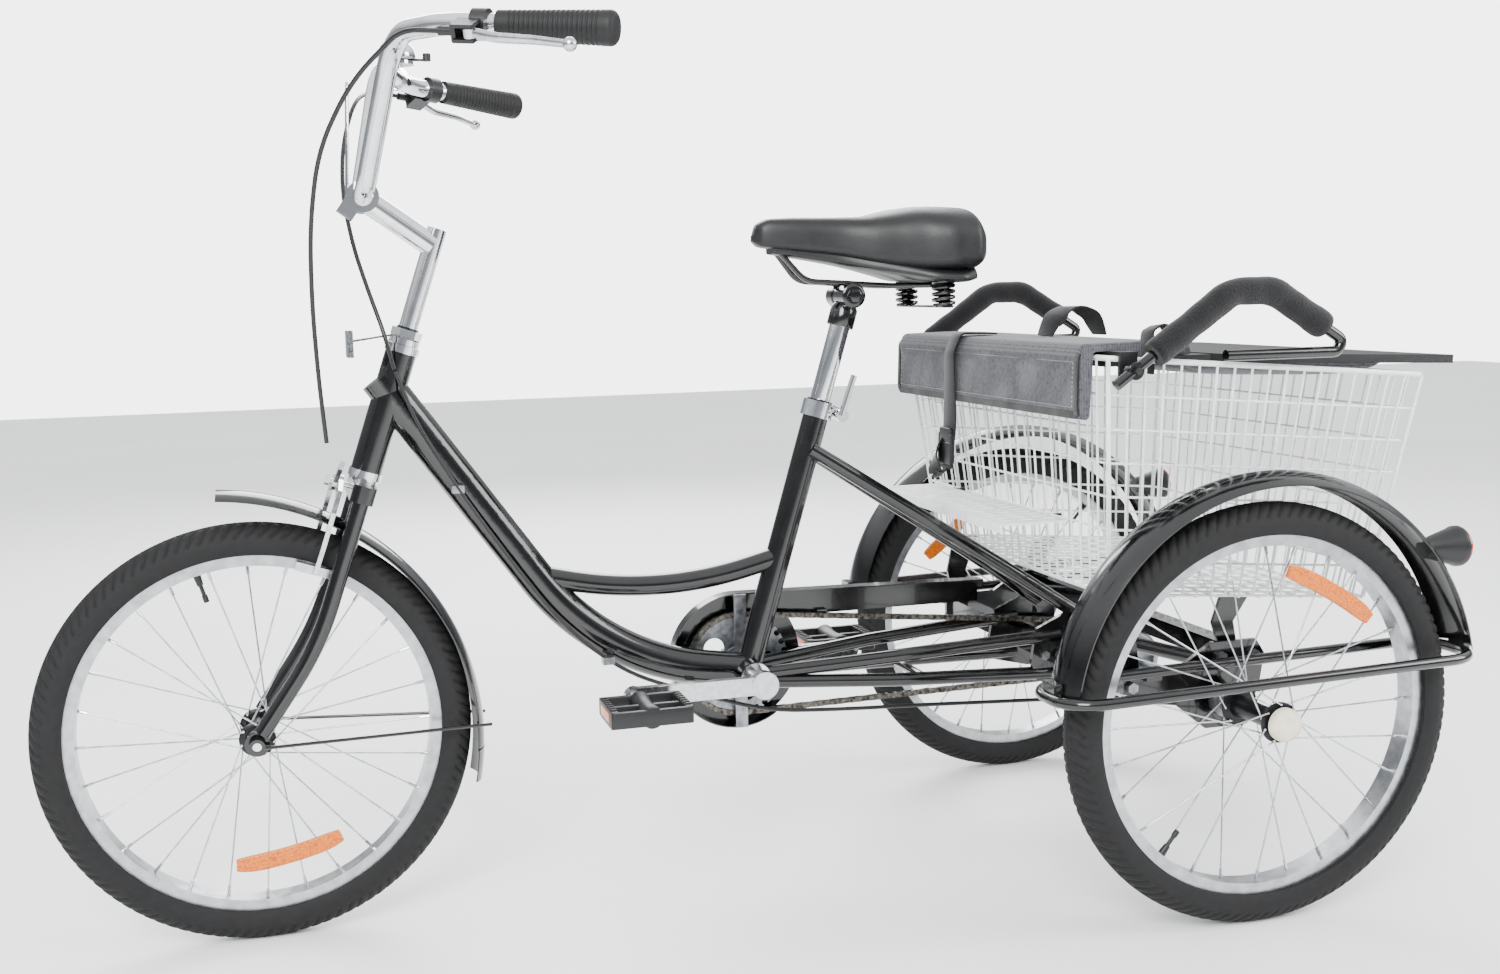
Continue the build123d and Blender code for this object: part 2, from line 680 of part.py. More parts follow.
def saddle():
    """Padded top, from its side outline and its plan."""
    side = extrude(make_face(Polyline(*[(x, 120, z) for x, z in SADDLE_SIDE], close=True)), 240, dir=(0, -1, 0))
    plan = [(x, y, 700) for x, y in SADDLE_HALF] + [(x, -y, 700) for x, y in reversed(SADDLE_HALF)]
    return side & extrude(make_face(Polyline(*plan, close=True)), 200, dir=(0, 0, 1))


def saddle_springs():
    """Rails and two rear springs under the pad."""
    parts = []
    for side in (1, -1):
        rail = [(470, side * 8, 788), (440, side * 16, 752), (330, side * 22, 744), (262, side * 46, 744)]
        rail += [(252, side * 60, 754)]
        parts.append(tube(rail, easy_radii(rail), 3.5))
    for side in (1, -1):
        parts.append(rod((276, side * 58, 716), (276, side * 58, 757), 15, 4) - parts[0] - parts[1])
    return parts


def seat_clamp():
    """Clamp block that grips the rails on top of the post."""
    top = seat_point(POST_TOP)
    clamp = rod((top.X, -32, top.Z + 11), (top.X, 32, top.Z + 11), 15)
    clamp += rod(seat_point(POST_TOP - 28), top, POST_R + 4)
    clamp -= rod(seat_point(POST_TOP - 40), seat_point(POST_TOP + 1), POST_R + 0.02)
    for part in saddle_springs():
        clamp -= part
    return clamp


# ---- drive --------------------------------------------------------------------------------------------------
def toothed(teeth, y, thickness, bore, phase=0.0):
    """Sprocket whose gaps take the rollers."""
    pitch_r = PITCH / 2 / math.sin(math.pi / teeth)
    wheel = rod((0, y - thickness / 2, 0), (0, y + thickness / 2, 0), pitch_r + 3.2, bore)
    gaps = None
    for k in range(teeth):
        angle = math.tau * k / teeth + phase
        x, z = pitch_r * math.cos(angle), pitch_r * math.sin(angle)
        gap = rod((x, y - thickness, z), (x, y + thickness, z), 4.1)
        gaps = gap if gaps is None else gaps + gap
    return wheel - gaps


RING_R = PITCH / 2 / math.sin(math.pi / RING_TEETH)
COG_R = PITCH / 2 / math.sin(math.pi / COG_TEETH)


def chain():
    """The chain as two side bands round both sprockets; the teeth run between them."""
    slope = math.asin((RING_R - COG_R) / math.hypot(BB_X, BB_Z - AXLE_Z))
    lean = math.atan2(BB_Z - AXLE_Z, BB_X)
    ring_c, cog_c = Vector(BB_X, 0, BB_Z), Vector(0, 0, AXLE_Z)

    def tangent(centre, r, sign):
        angle = lean + sign * (math.pi / 2 + slope)
        return centre + Vector(math.cos(angle), 0, math.sin(angle)) * r

    def band(grow):
        ring_r, cog_r = RING_R + grow, COG_R + grow
        top_ring, top_cog = tangent(ring_c, ring_r, 1), tangent(cog_c, cog_r, 1)
        low_ring, low_cog = tangent(ring_c, ring_r, -1), tangent(cog_c, cog_r, -1)
        nose = ring_c + Vector(math.cos(lean), 0, math.sin(lean)) * ring_r
        tail = cog_c - Vector(math.cos(lean), 0, math.sin(lean)) * cog_r
        wire = Line(top_ring, top_cog) + ThreePointArc(top_cog, tail, low_cog)
        wire += Line(low_cog, low_ring) + ThreePointArc(low_ring, nose, top_ring)
        return make_face(wire)

    loop = band(4.2) - band(-4.2)
    sides = []
    for y in (CHAIN_Y - 2.6, CHAIN_Y + 4.0):
        sides.append(extrude(loop, 1.4, dir=(0, -1, 0)).moved(Location((0, y, 0))))
    rollers = []
    upper_a, upper_b = tangent(ring_c, RING_R, 1), tangent(cog_c, COG_R, 1)
    lower_a, lower_b = tangent(ring_c, RING_R, -1), tangent(cog_c, COG_R, -1)
    for a, b in ((upper_a, upper_b), (lower_a, lower_b)):
        count = int((b - a).length // (PITCH * 4))
        for k in range(1, count):
            p = a + (b - a) * (k / count)
            rollers.append(rod((p.X, CHAIN_Y - 2.6, p.Z), (p.X, CHAIN_Y + 2.6, p.Z), 3.8))
    body = sides[0] + sides[1]
    for roller in rollers:
        body += roller
    return body


def chainring():
    """Steel ring with five arms, on the spindle's right end."""
    ring_body = toothed(RING_TEETH, CHAIN_Y, 2.2, 0.0)
    for k in range(5):
        angle = math.tau * (k + 0.5) / 5
        x, z = 38 * math.cos(angle), 38 * math.sin(angle)
        ring_body -= rod((x, CHAIN_Y - 3, z), (x, CHAIN_Y + 3, z), 13.5)
    boss = rod((0, -62, 0), (0, CHAIN_Y + 4, 0), 16)
    body = (ring_body + boss).moved(Location((BB_X, 0, BB_Z)))
    return body - rod((BB_X, -70, BB_Z), (BB_X, 70, BB_Z), 8.5)


CRANK_IN = 64.0
CRANK_T = 13.0


def spindle():
    """Bottom bracket spindle."""
    end = CRANK_IN + CRANK_T - 1
    return rod((BB_X, -end, BB_Z), (BB_X, end, BB_Z), 8.5)


def crank_arm(side):
    """Cottered arm; the left one points ahead, the right one back."""
    y = side * (CRANK_IN + CRANK_T / 2)
    tip = (BB_X + side * CRANK, y, BB_Z)
    arm = ring((BB_X, y, BB_Z), 17, 0, CRANK_T) + ring(tip, 12, 0, CRANK_T - 1)
    arm += block((BB_X + side * CRANK / 2, y, BB_Z), (CRANK, CRANK_T - 2, 22))
    arm -= rod((BB_X, side * (CRANK_IN - 1), BB_Z), (BB_X, side * (CRANK_IN + CRANK_T - 1), BB_Z), 8.52)
    return arm - ring(tip, 6 + FIT, 0, CRANK_T + 1)


def pedal(side):
    """Platform body round its spindle; the spindle turns in the arm's eye."""
    x = BB_X + side * CRANK
    inner = CRANK_IN + 1
    middle = side * 132
    body = block((x, middle, BB_Z), (98, 78, 24))
    body = fillet(body.edges().filter_by(Axis.Z), 12)
    for dx in (-30, 30):
        body -= block((x + dx, middle, BB_Z), (24, 52, 30))
    body += rod((x, side * inner, BB_Z), (x, side * (CRANK_IN + CRANK_T + 18), BB_Z), 6)
    return body


def bb_cups():
    """Adjustable cups at the ends of the bottom bracket shell."""
    cups = []
    for side in (1, -1):
        cup = rod((BB_X, side * (BB_HALF - 12), BB_Z), (BB_X, side * BB_HALF, BB_Z), 16.97, 8.58)
        cups.append(cup + rod((BB_X, side * BB_HALF, BB_Z), (BB_X, side * (BB_HALF + 3), BB_Z), 19, 8.58))
    return cups


GUARD_Y = -57.0
GUARD_R = 88.0
GUARD_ARM_END = 176.0


def chain_guard(chain_shape):
    """Round cover over the ring with a window, an arm along the upper run, and a turned-in edge."""
    def outline(r, shrink):
        disc = Pos(BB_X, BB_Z + 5) * Circle(r)
        arm = Polyline(
            (BB_X, BB_Z + 5 + r), (GUARD_ARM_END + shrink, 354 - shrink),
            (GUARD_ARM_END + shrink, 322 + shrink), (BB_X - 62, 322 + shrink), (BB_X, BB_Z + 5), close=True
        )
        return disc + make_face(arm)

    plane = Plane(origin=(0, GUARD_Y, 0), x_dir=(1, 0, 0), z_dir=(0, -1, 0))
    cover = plane * extrude(outline(GUARD_R, 0) - Pos(BB_X, BB_Z + 5) * Circle(46), 1.6)
    edge = plane * extrude(outline(GUARD_R, 0) - outline(GUARD_R - 1.6, 1.6), -19)
    edge -= block((BB_X - 50 - 160, -48, 265), (320, 40, 160))
    guide = block((400, -53, 324), (14, 8, 8))
    body = cover + edge + guide - chain_shape
    return body.solids().sort_by(SortBy.VOLUME)[-1]


def guard_bracket(guard_shape):
    """Steel strap that carries the chain guard from the bottom bracket."""
    strap = block((BB_X - 2, -35.5, BB_Z + 5), (16, 3, 174)) + ring((BB_X, -35.5, BB_Z), 25, 0, 3)
    for z in (BB_Z + 90.4, BB_Z - 80.4):
        strap += block((BB_X - 2, -38.5, z), (16, 9, 3))
    return strap - rod((BB_X, -30, BB_Z), (BB_X, -45, BB_Z), 19.05) - guard_shape


# ---- rear carriage ------------------------------------------------------------------------------------------
CROSS_REAR = (-12.0, 302.0)
CROSS_FRONT = (118.0, 273.0)
PLATE = [(-52, 300), (-40, 318), (20, 318), (60, 292), (136, 290), (136, 256), (66, 246), (26, 214), (-26, 214), (-46, 262)]


def carriage():
    """Two square cross tubes between two side plates that hold the axle bearings."""
    length = 2 * (PLATE_Y - PLATE_T / 2)
    body = block((CROSS_REAR[0], 0, CROSS_REAR[1]), (CROSS_TUBE, length, CROSS_TUBE))
    body += block((CROSS_FRONT[0], 0, CROSS_FRONT[1]), (CROSS_TUBE, length, CROSS_TUBE))
    for side in (1, -1):
        plate = plate_xz(PLATE, side * PLATE_Y, PLATE_T)
        body += plate - ring((0, side * PLATE_Y, AXLE_Z), 20, 0, PLATE_T + 2)
        start, end = (96, side * 60, 300), (10, side * 232, 290)
        body += rod(start, end, 9)
    return body


def axle_bearings():
    """Two bearings in the side plates."""
    return [ring((0, side * PLATE_Y, AXLE_Z), 20, REAR_AXLE_R + FIT, 14) for side in (1, -1)]


def rear_axle():
    """Through axle with a collar, the chain cog, the brake drum and an end nut at each side."""
    end = TRACK / 2 + REAR_HUB_HALF
    axle = rod((0, -end - 8, AXLE_Z), (0, end + 8, AXLE_Z), REAR_AXLE_R)
    for side in (1, -1):
        axle += ring((0, side * (PLATE_Y + 12), AXLE_Z), 13, 0, 8)
        axle += hexagon((0, side * (end + GAP), AXLE_Z), (0, side * (end + 8), AXLE_Z), 22)
    cog = toothed(COG_TEETH, CHAIN_Y, 2.2, 0.0).moved(Location((0, 0, AXLE_Z)))
    cog += ring((0, CHAIN_Y + 8, AXLE_Z), 18, 0, 16)
    drum = ring((0, 30, AXLE_Z), 38, 34, 20) + ring((0, 30, AXLE_Z), 35, 0, 4) + ring((0, 30, AXLE_Z), 16, 0, 24)
    return axle + cog + drum


def band_brake(carriage_shape):
    """Steel band round the drum, its anchor strap to the front cross tube, and the brake arm's hanger and pin."""
    band = ring((0, 30, AXLE_Z), 41.4, 39.2, 16)
    ear = block((45, 30, AXLE_Z - 4), (10, 16, 4))
    strap = block((76, 30, AXLE_Z - 6), (60, 16, 4))
    post = block((104, 30, 251), (5, 16, 20))
    x, z = BRAKE_PIVOT
    hanger = block((x, 36, z + 17), (14, 3, 42)) + rod((x, 27, z), (x, 37.5, z), 3)
    body = band + ear + strap + post + hanger - carriage_shape
    return body.solids().sort_by(SortBy.VOLUME)[-1]


BRAKE_PIVOT = (84.0, 206.0)


def brake_arm():
    """Arm that the rear cable pulls to tighten the band."""
    x, z = BRAKE_PIVOT
    arm = block((x + 17, 30, z - 2), (40, 5, 9)) + ring((x, 30, z), 8, 0, 5)
    return arm - ring((x, 30, z), 3.05, 0, 8)


def rear_mudguard(side):
    """Wide rear mudguard."""
    centre = (-9, side * TRACK / 2, AXLE_Z + 10)
    return mudguard(centre, REAR_GUARD_R, REAR_GUARD_HALF, 13, 7.6, 168.6)


RAIL_FRONT_X = 268.0
RAIL_BACK_X = -263.0
RAIL_OUT_Y = 369.0
RAIL_IN_Y = 271.0


def guard_rail(side):
    """Closed rod round the wheel, with a tab to the side plate."""
    low, high = 290.5, 303.5
    front, back = RAIL_FRONT_X, RAIL_BACK_X
    loop = [
        (front - 60, side * RAIL_OUT_Y, low + 1.5), (front, side * RAIL_OUT_Y, low), (front, side * RAIL_IN_Y, low),
        (back, side * RAIL_IN_Y, high), (back, side * RAIL_OUT_Y, high), (front - 60, side * RAIL_OUT_Y, low + 1.5),
    ]
    path = FilletPolyline(*loop[1:5], radius=42, close=True)
    start = Plane(origin=path @ 0, z_dir=path % 0)
    rail = sweep(start * Circle(RAIL_R), path=path)
    y = side * (PLATE_Y + PLATE_T / 2 + 7)
    tabs = block((-14, y, 298), (18, 14, 12)) + block((104, y, 289), (20, 14, 14))
    tabs += block((263, side * TRACK / 2, 300), (10, 26, 16)) + block((-271, side * TRACK / 2, 306), (9, 26, 10))
    return [rail] + list((tabs - rail - rear_mudguard(side)).solids())


def tail_lamp(side):
    """Lamp body on the mudguard and its lens."""
    y, z = side * TRACK / 2, 426.0
    body = Plane(origin=(-214, y, z), z_dir=(-1, 0, 0)) * Pos(0, 0, 24) * Cone(12, 24, 48)
    body = (body - rear_mudguard(side)).solids().sort_by(Axis.X)[0]
    lens = Plane(origin=(-262, y, z), z_dir=(-1, 0, 0)) * Pos(0, 0, 4.5) * Cone(24, 17, 9)
    return body, lens


# ---- basket -------------------------------------------------------------------------------------------------
TILT = Location((BASKET_X, 0, BASKET_Z), (0, 1, 0), -BASKET_TILT)


def basket_place(shape):
    """From the basket's own frame to its place on the carriage."""
    return shape.moved(TILT)


def cells(corners, across, up, wire):
    """A flat panel of crossed wires as one face, from its four corners in its own plane."""
    a, b, c, d = [Vector(*p) for p in corners]

    def at(s, t):
        return (a + (b - a) * s) * (1 - t) + (d + (c - d) * s) * t

    width, height = (b - a).length, (d - a).length
    holes = []
    for i in range(across):
        for j in range(up):
            s0, s1 = i / across + wire / width / 2, (i + 1) / across - wire / width / 2
            t0, t1 = j / up + wire / height / 2, (j + 1) / up - wire / height / 2
            holes.append(Wire(Polyline(at(s0, t0), at(s1, t0), at(s1, t1), at(s0, t1), close=True).edges()))
    grow_s, grow_t = wire / width / 2, wire / height / 2
    outline = Polyline(
        at(-grow_s, -grow_t), at(1 + grow_s, -grow_t), at(1 + grow_s, 1 + grow_t), at(-grow_s, 1 + grow_t), close=True
    )
    return Face(Wire(outline.edges()), holes)


def panel(low_left, low_right, top_right, top_left, across, up):
    """Wire wall between four corners in space; it thickens to the left of the walk along its foot."""
    a, b, c, d = [Vector(*p) for p in (low_left, low_right, top_right, top_left)]
    normal = (b - a).cross(d - a).normalized()
    plane = Plane(origin=a, x_dir=b - a, z_dir=normal)
    corners = [plane.to_local_coords(p) for p in (a, b, c, d)]
    flat = [(p.X, p.Y) for p in corners]
    return plane * extrude(cells(flat, across, up, WIRE), WIRE)


def basket_rim():
    """Thick wire round the basket's mouth."""
    (_, front), (_, rear) = BASKET_FRONT, BASKET_REAR
    length, width = front - rear, 2 * BASKET_TOP_HALF
    loop = Box(length + RIM_ROD, width + RIM_ROD, RIM_ROD) - Box(length - RIM_ROD, width - RIM_ROD, RIM_ROD * 2)
    return basket_place(Pos((front + rear) / 2, 0, BASKET_H) * loop)


def basket_walls():
    """Front, rear and two side walls of crossed wires."""
    b, t, h = BASKET_BOTTOM_HALF, BASKET_TOP_HALF, BASKET_H
    (xf0, xf1), (xr0, xr1) = BASKET_FRONT, BASKET_REAR
    inset = 5.5
    low, high = 4, h - 3
    front = panel((xf0, b, low), (xf0, -b, low), (xf1, -t, high), (xf1, t, high), 24, 7)
    rear = panel((xr0, -b, low), (xr0, b, low), (xr1, t, high), (xr1, -t, high), 24, 7)
    left = panel((xr0 + inset, b, low), (xf0 - inset, b, low), (xf1 - inset, t, high), (xr1 + inset, t, high), 18, 7)
    return [basket_place(s) - basket_rim() for s in (front, rear, left, mirror_y(left))]


def basket_floor(walls):
    """Wire floor between the four walls."""
    b = BASKET_BOTTOM_HALF - 1
    x0, x1 = BASKET_REAR[0] + 1, BASKET_FRONT[0] - 1
    floor = basket_place(extrude(cells([(x0, -b), (x1, -b), (x1, b), (x0, b)], 12, 18, WIRE), WIRE + 1.5))
    for wall in walls:
        floor -= wall
    return floor


def basket_brackets(floor, carriage_shape):
    """Four plates that stand on the carriage's cross tubes and carry the basket floor."""
    plates = []
    for side in (1, -1):
        for x, z in (CROSS_REAR, CROSS_FRONT):
            low = z + CROSS_TUBE / 2 - 6
            top = BASKET_Z + (x - BASKET_X) * math.tan(math.radians(BASKET_TILT)) + 1
            middle = (low + top) / 2
            outline = [(x - 12, low), (x + 12, low), (x + 22, middle), (x + 12, top), (x - 26, top), (x - 6, middle)]
            plate = plate_xz(outline, side * 236, 5) - floor - carriage_shape
            plates.append(plate.solids().sort_by(SortBy.VOLUME)[-1])
    return plates


FOOTREST_HINGE = Vector(172, 0, 462)


def footrest():
    """Perforated panel that folds up against the basket, hinged at its rear edge."""
    x, z = FOOTREST_HINGE.X, FOOTREST_HINGE.Z
    sheet = block((x + 47, 0, z + 2), (86, 376, 3))
    for i in range(-8, 9):
        for dx in (20, 46, 72):
            sheet -= block((x + dx, i * 21, z + 2), (18, 8, 6))
    sheet += block((x + 89, 0, z - 2), (3, 376, 10))
    for side in (1, -1):
        sheet += block((x + 3, side * 150, z + 2), (12, 20, 3)) + rod((x, side * 140, z), (x, side * 160, z), 4.5)
        sheet -= rod((x, side * 130, z), (x, side * 170, z), 2.5 + FIT)
    return sheet


def footrest_pins(wall):
    """Two hinge pins on lugs clipped to the basket's front wires."""
    x, z = FOOTREST_HINGE.X, FOOTREST_HINGE.Z
    parts = []
    for side in (1, -1):
        lug = block((x - 8, side * 134, z), (20, 5, 6)) - wall
        lug = lug.solids().sort_by(SortBy.VOLUME)[-1]
        parts.append(lug + rod((x, side * 134, z), (x, side * 161, z), 2.5))
    return parts


# ---- passenger seat -----------------------------------------------------------------------------------------
BOARD_Z = 649.0
HINGE_Z = BOARD_Z + 4
ARM_PIVOT = (160.0, 646.0)
FOLDED = Location((BOARD_HINGE_X, 0, HINGE_Z), (0, 1, 0), -2.0)


def seat_board():
    """Fixed front half of the seat in the basket's mouth, with hinge knuckles, rim cleats and armrest pivots."""
    x, z = BOARD_HINGE_X, BOARD_Z
    front = 172
    px, pz = ARM_PIVOT
    board = block(((x + 9 + front) / 2, 0, z + BOARD_T / 2), (front - x - 9, 2 * BOARD_HALF, BOARD_T))
    for side in (1, -1):
        board += block((x + 6, side * 150, z + 3), (14, 30, 6))
        board += rod((x, side * 135, HINGE_Z), (x, side * 165, HINGE_Z), 5)
        board += rod((x, side * 120, HINGE_Z), (x, side * 180, HINGE_Z), 2.5)
        board += block((172, side * 170, z + 13.5), (24, 40, 7))
        board += block((px, side * 273.2, z + 15.5), (22, 42, 4)) + block((px, side * 258, z + 12), (22, 14, 8))
        board += block((px, side * 292.4, pz + 6), (22, 3.6, 28))
        board += rod((px, side * 291, pz), (px, side * (ARM_Y + 11), pz), 4)
    return board - basket_rim()


PAD_SIDE = [
    (62, 659.1), (62, 672), (66, 675), (190, 677), (201, 674), (206, 666), (207, 600), (204, 592), (198, 589),
    (189, 591), (187, 667), (158, 667), (158, 659.1),
]


def seat_pad():
    """Padded fabric over the front of the seat, hanging down the basket's front."""
    pad = extrude(make_face(Polyline(*[(x, 265, z) for x, z in PAD_SIDE], close=True)), 530, dir=(0, -1, 0))
    for side in (1, -1):
        pad -= block((ARM_PIVOT[0], side * 273, 662.5), (23, 46, 9.4))
    return pad


def backrest_board():
    """Rear half, folded flat; it turns up on the hinge."""
    x, z = BOARD_HINGE_X, BOARD_Z
    board = block(((x - 9 + BOARD_REAR_X) / 2, 0, z + BOARD_T / 2), (x - 9 - BOARD_REAR_X, 2 * BOARD_HALF, BOARD_T))
    for side in (1, -1):
        for y in (126, 174):
            board += block((x - 6, side * y, z + 3), (14, 10, 6))
            board += rod((x, side * (y - 5), HINGE_Z), (x, side * (y + 5), HINGE_Z), 5)
        board -= rod((x, side * 119, HINGE_Z), (x, side * 181, HINGE_Z), 2.5 + FIT)
    return board.moved(Location((-x, 0, -HINGE_Z))).moved(FOLDED)


def backrest_pad():
    """Cushion under the folded backrest."""
    x0, x1 = BOARD_REAR_X + 75, 6
    pad = block(((x0 + x1) / 2, 0, BOARD_Z - 10), (x1 - x0, 2 * 235, 20))
    return pad.moved(Location((-BOARD_HINGE_X, 0, -HINGE_Z))).moved(FOLDED)


def armrest(side):
    """Bent tube on its pivot, and its foam sleeve."""
    y = side * ARM_Y
    px, pz = ARM_PIVOT
    points = [(182, y, 630.5), (40, y, 730), (-12, y, 730), (-106, y, 672), (-98, y, 659), (46, y, 659)]
    bar = tube(points, [45, 45, 8, 7], 6.5)
    start, turn = Vector(*points[0]), (Vector(*points[1]) - Vector(*points[0])).normalized()
    back = (Vector(*points[3]) - Vector(*points[2])).normalized()
    foam_path = route([start + turn * 56, points[1], points[2], Vector(*points[2]) + back * 80], [45, 45])
    foam = sweep(Plane(origin=foam_path @ 0, z_dir=foam_path % 0) * (Circle(16) - Circle(6.55)), path=foam_path)
    bar += ring((px, y, pz), 10, 0, 12)
    bar -= ring((px, y, pz), 4 + FIT, 0, 30)
    return bar, foam


def belt(points, width, thickness, y):
    """Webbing along a path in the XZ plane."""
    path = route(points, easy_radii(points))
    start = Plane(origin=path @ 0, x_dir=(0, 1, 0), z_dir=path % 0)
    return sweep(start * Rectangle(width, thickness), path=path).moved(Location((0, y, 0)))


def seat_belts():
    """Webbing: one hanging down the front, one looped over the seat."""
    front = belt([(150, 0, 677.4), (204, 0, 679), (211, 0, 655), (210, 0, 560), (217, 0, 500)], 34, 3, -70)
    loop = belt([(64, 0, 675), (76, 0, 702), (104, 0, 716), (128, 0, 702), (140, 0, 676)], 34, 3, 60)
    return front - seat_pad(), loop - seat_pad()


def frame_bolts():
    """Bolts of the carriage and mudguards."""
    bolts = []
    for side in (1, -1):
        for x, z in ((8, 300), (-36, 300), (126, 273)):
            bolts.append(hexagon((x, side * (PLATE_Y + 3), z), (x, side * (PLATE_Y + 9), z), 12))
        for x, z in ((140, 271), (84, 271)):
            bolts.append(hexagon((x, side * (STAY_Y + 3), z), (x, side * (STAY_Y + 8), z), 11))
    return bolts


def cable_clips(frame_shape, cable_shape):
    """Clips that hold the rear brake cable to the main tube."""
    clips = []
    for x, z, width in ((872, 521, 14), (700, 302, 14), (596, 252, 12)):
        clip = block((x, 20, z), (width, 15, 9)) - frame_shape - cable_shape
        clips.append(clip.solids().sort_by(SortBy.VOLUME)[-1])
    return clips


# ---- write every node ---------------------------------------------------------------------------------------
write_wheels()
emit("fork", fork())
emit("fork_fittings", front_axle(), *headset_nuts(), caliper_bolt())
emit("stem", stem(), cable_hoop())
emit("handlebar", handlebar())
emit("grips", grip(1), grip(-1))
emit("lever_brackets", lever_bracket(1), lever_bracket(-1))
emit("brake_lever_left", brake_lever(1))
emit("brake_lever_right", brake_lever(-1))
emit("bell", *bell())
emit("bell_lever", bell_lever())
emit("front_reflector", *front_reflector())
emit("front_brake_cable", cable(front_cable()))
emit("rear_cable_upper", cable(rear_cable_upper()))
emit("brake_arm_left", *caliper_arm(1, 0.2))
emit("brake_arm_right", *caliper_arm(-1, 6.0))
emit("front_mudguard", *front_mudguard(), *mudguard_stay())

frame = front_frame()
carriage_body = carriage()
emit("front_frame", frame)
emit("rear_stays", rear_stays(frame, carriage_body))
emit("bearing_cups", *headset_cups(), *bb_cups())
emit("seat_collar", *seat_collar())
emit("seat_quick_release", qr_lever())
emit("seatpost", rod(seat_point(SEAT_LENGTH - 110), seat_point(POST_TOP), POST_R), seat_clamp(), *saddle_springs())
emit("saddle", saddle())
rear_cable = cable(REAR_CABLE)
emit("rear_brake_cable", rear_cable)

emit("crank_arms", crank_arm(1), crank_arm(-1), spindle())
emit("chainring", chainring())
emit("pedal_left", pedal(1))
emit("pedal_right", pedal(-1))
chain_body = chain()
guard = chain_guard(chain_body)
emit("chain", chain_body)
emit("chain_guard", guard)
emit("guard_bracket", guard_bracket(guard))

emit("rear_carriage", carriage_body)
emit("axle_bearings", *axle_bearings())
emit("rear_axle", rear_axle())
emit("band_brake", band_brake(carriage_body))
emit("rear_brake_arm", brake_arm())
emit("rear_mudguards", rear_mudguard(1), rear_mudguard(-1))
emit("guard_rails", *guard_rail(1), *guard_rail(-1))
emit("tail_lamps", *tail_lamp(1), *tail_lamp(-1))
emit("frame_bolts", *frame_bolts(), *cable_clips(frame, rear_cable))

walls = basket_walls()
emit("basket_walls", *walls, basket_rim())
floor = basket_floor(walls)
emit("basket_floor", floor)
emit("basket_brackets", *basket_brackets(floor, carriage_body), *footrest_pins(walls[0]))
emit("footrest", footrest())
emit("seat_board", seat_board())
emit("seat_pad", seat_pad())
emit("backrest_board", backrest_board())
emit("backrest_pad", backrest_pad())
emit("armrest_left", *armrest(1))
emit("armrest_right", *armrest(-1))
emit("seat_belts", *seat_belts())
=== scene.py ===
# %% [markdown]
# # An adult tricycle, dressed over its working model
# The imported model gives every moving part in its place. Here each part gets its real surface: tyres with tread,
# laced spokes, a woven seat pad, a wire basket, and a finish that starts from what the part is made of.

# %% Load the frame
import math
import bmesh
import bpy
import numpy as np
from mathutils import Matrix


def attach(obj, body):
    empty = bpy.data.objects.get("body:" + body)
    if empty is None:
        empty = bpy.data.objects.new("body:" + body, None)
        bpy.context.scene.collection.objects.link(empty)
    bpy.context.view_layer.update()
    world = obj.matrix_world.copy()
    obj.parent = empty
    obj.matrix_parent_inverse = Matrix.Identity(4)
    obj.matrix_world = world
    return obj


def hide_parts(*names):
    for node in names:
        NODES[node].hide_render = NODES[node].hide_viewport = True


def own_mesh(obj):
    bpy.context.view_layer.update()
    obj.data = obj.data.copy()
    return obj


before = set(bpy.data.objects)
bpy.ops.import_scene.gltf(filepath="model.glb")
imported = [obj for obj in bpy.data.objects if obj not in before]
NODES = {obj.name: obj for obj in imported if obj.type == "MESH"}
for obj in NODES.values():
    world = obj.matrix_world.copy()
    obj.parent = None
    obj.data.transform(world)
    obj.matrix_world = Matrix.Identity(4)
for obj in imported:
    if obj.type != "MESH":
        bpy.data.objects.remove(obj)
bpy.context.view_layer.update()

# %% [markdown]
# ## Camera
# The viewer stands at the left front, a little above the basket, and looks slightly down. The lens is a short
# telephoto with a small shift, so that the wheels keep their proportions.

# %% Camera
eye = bpy.data.cameras.new("eye")
eye.lens, eye.sensor_width = 37.363, 36.0
eye.shift_x, eye.shift_y = 0.0299, 0.0126
eye.clip_end = 60.0
camera = bpy.data.objects.new("eye", eye)
camera.location = (0.5317, 1.8332, 0.7479)
camera.rotation_euler = [math.radians(a) for a in (81.9878, 1.2693, 164.6379)]
bpy.context.scene.collection.objects.link(camera)
bpy.context.scene.camera = camera
print("camera at", tuple(camera.location))

# %% [markdown]
# ## Surfaces as arrays
# Every new piece is a grid of points worked out at once: a section carried along a path, or a profile turned
# about an axis. Lengths are millimetres here, and x is counted from the rear axle, as on a drawing. `place`
# moves the points to the model's own origin, so each object stays at the origin with its place in its mesh.

# %% Vectors and grids
MM = 0.001
ORIGIN = np.array((-534.0, 0.0, 0.0))
AXLE_Z, WHEELBASE, HALF_TRACK = 247.0, 1113.0, 320.0
CRANK_X, CRANK_Z, CRANK = 518.0, 267.0, 162.0


def unit(v):
    """A vector, or an array of them, with length 1."""
    v = np.asarray(v, float)
    return v / np.linalg.norm(v, axis=-1, keepdims=True)


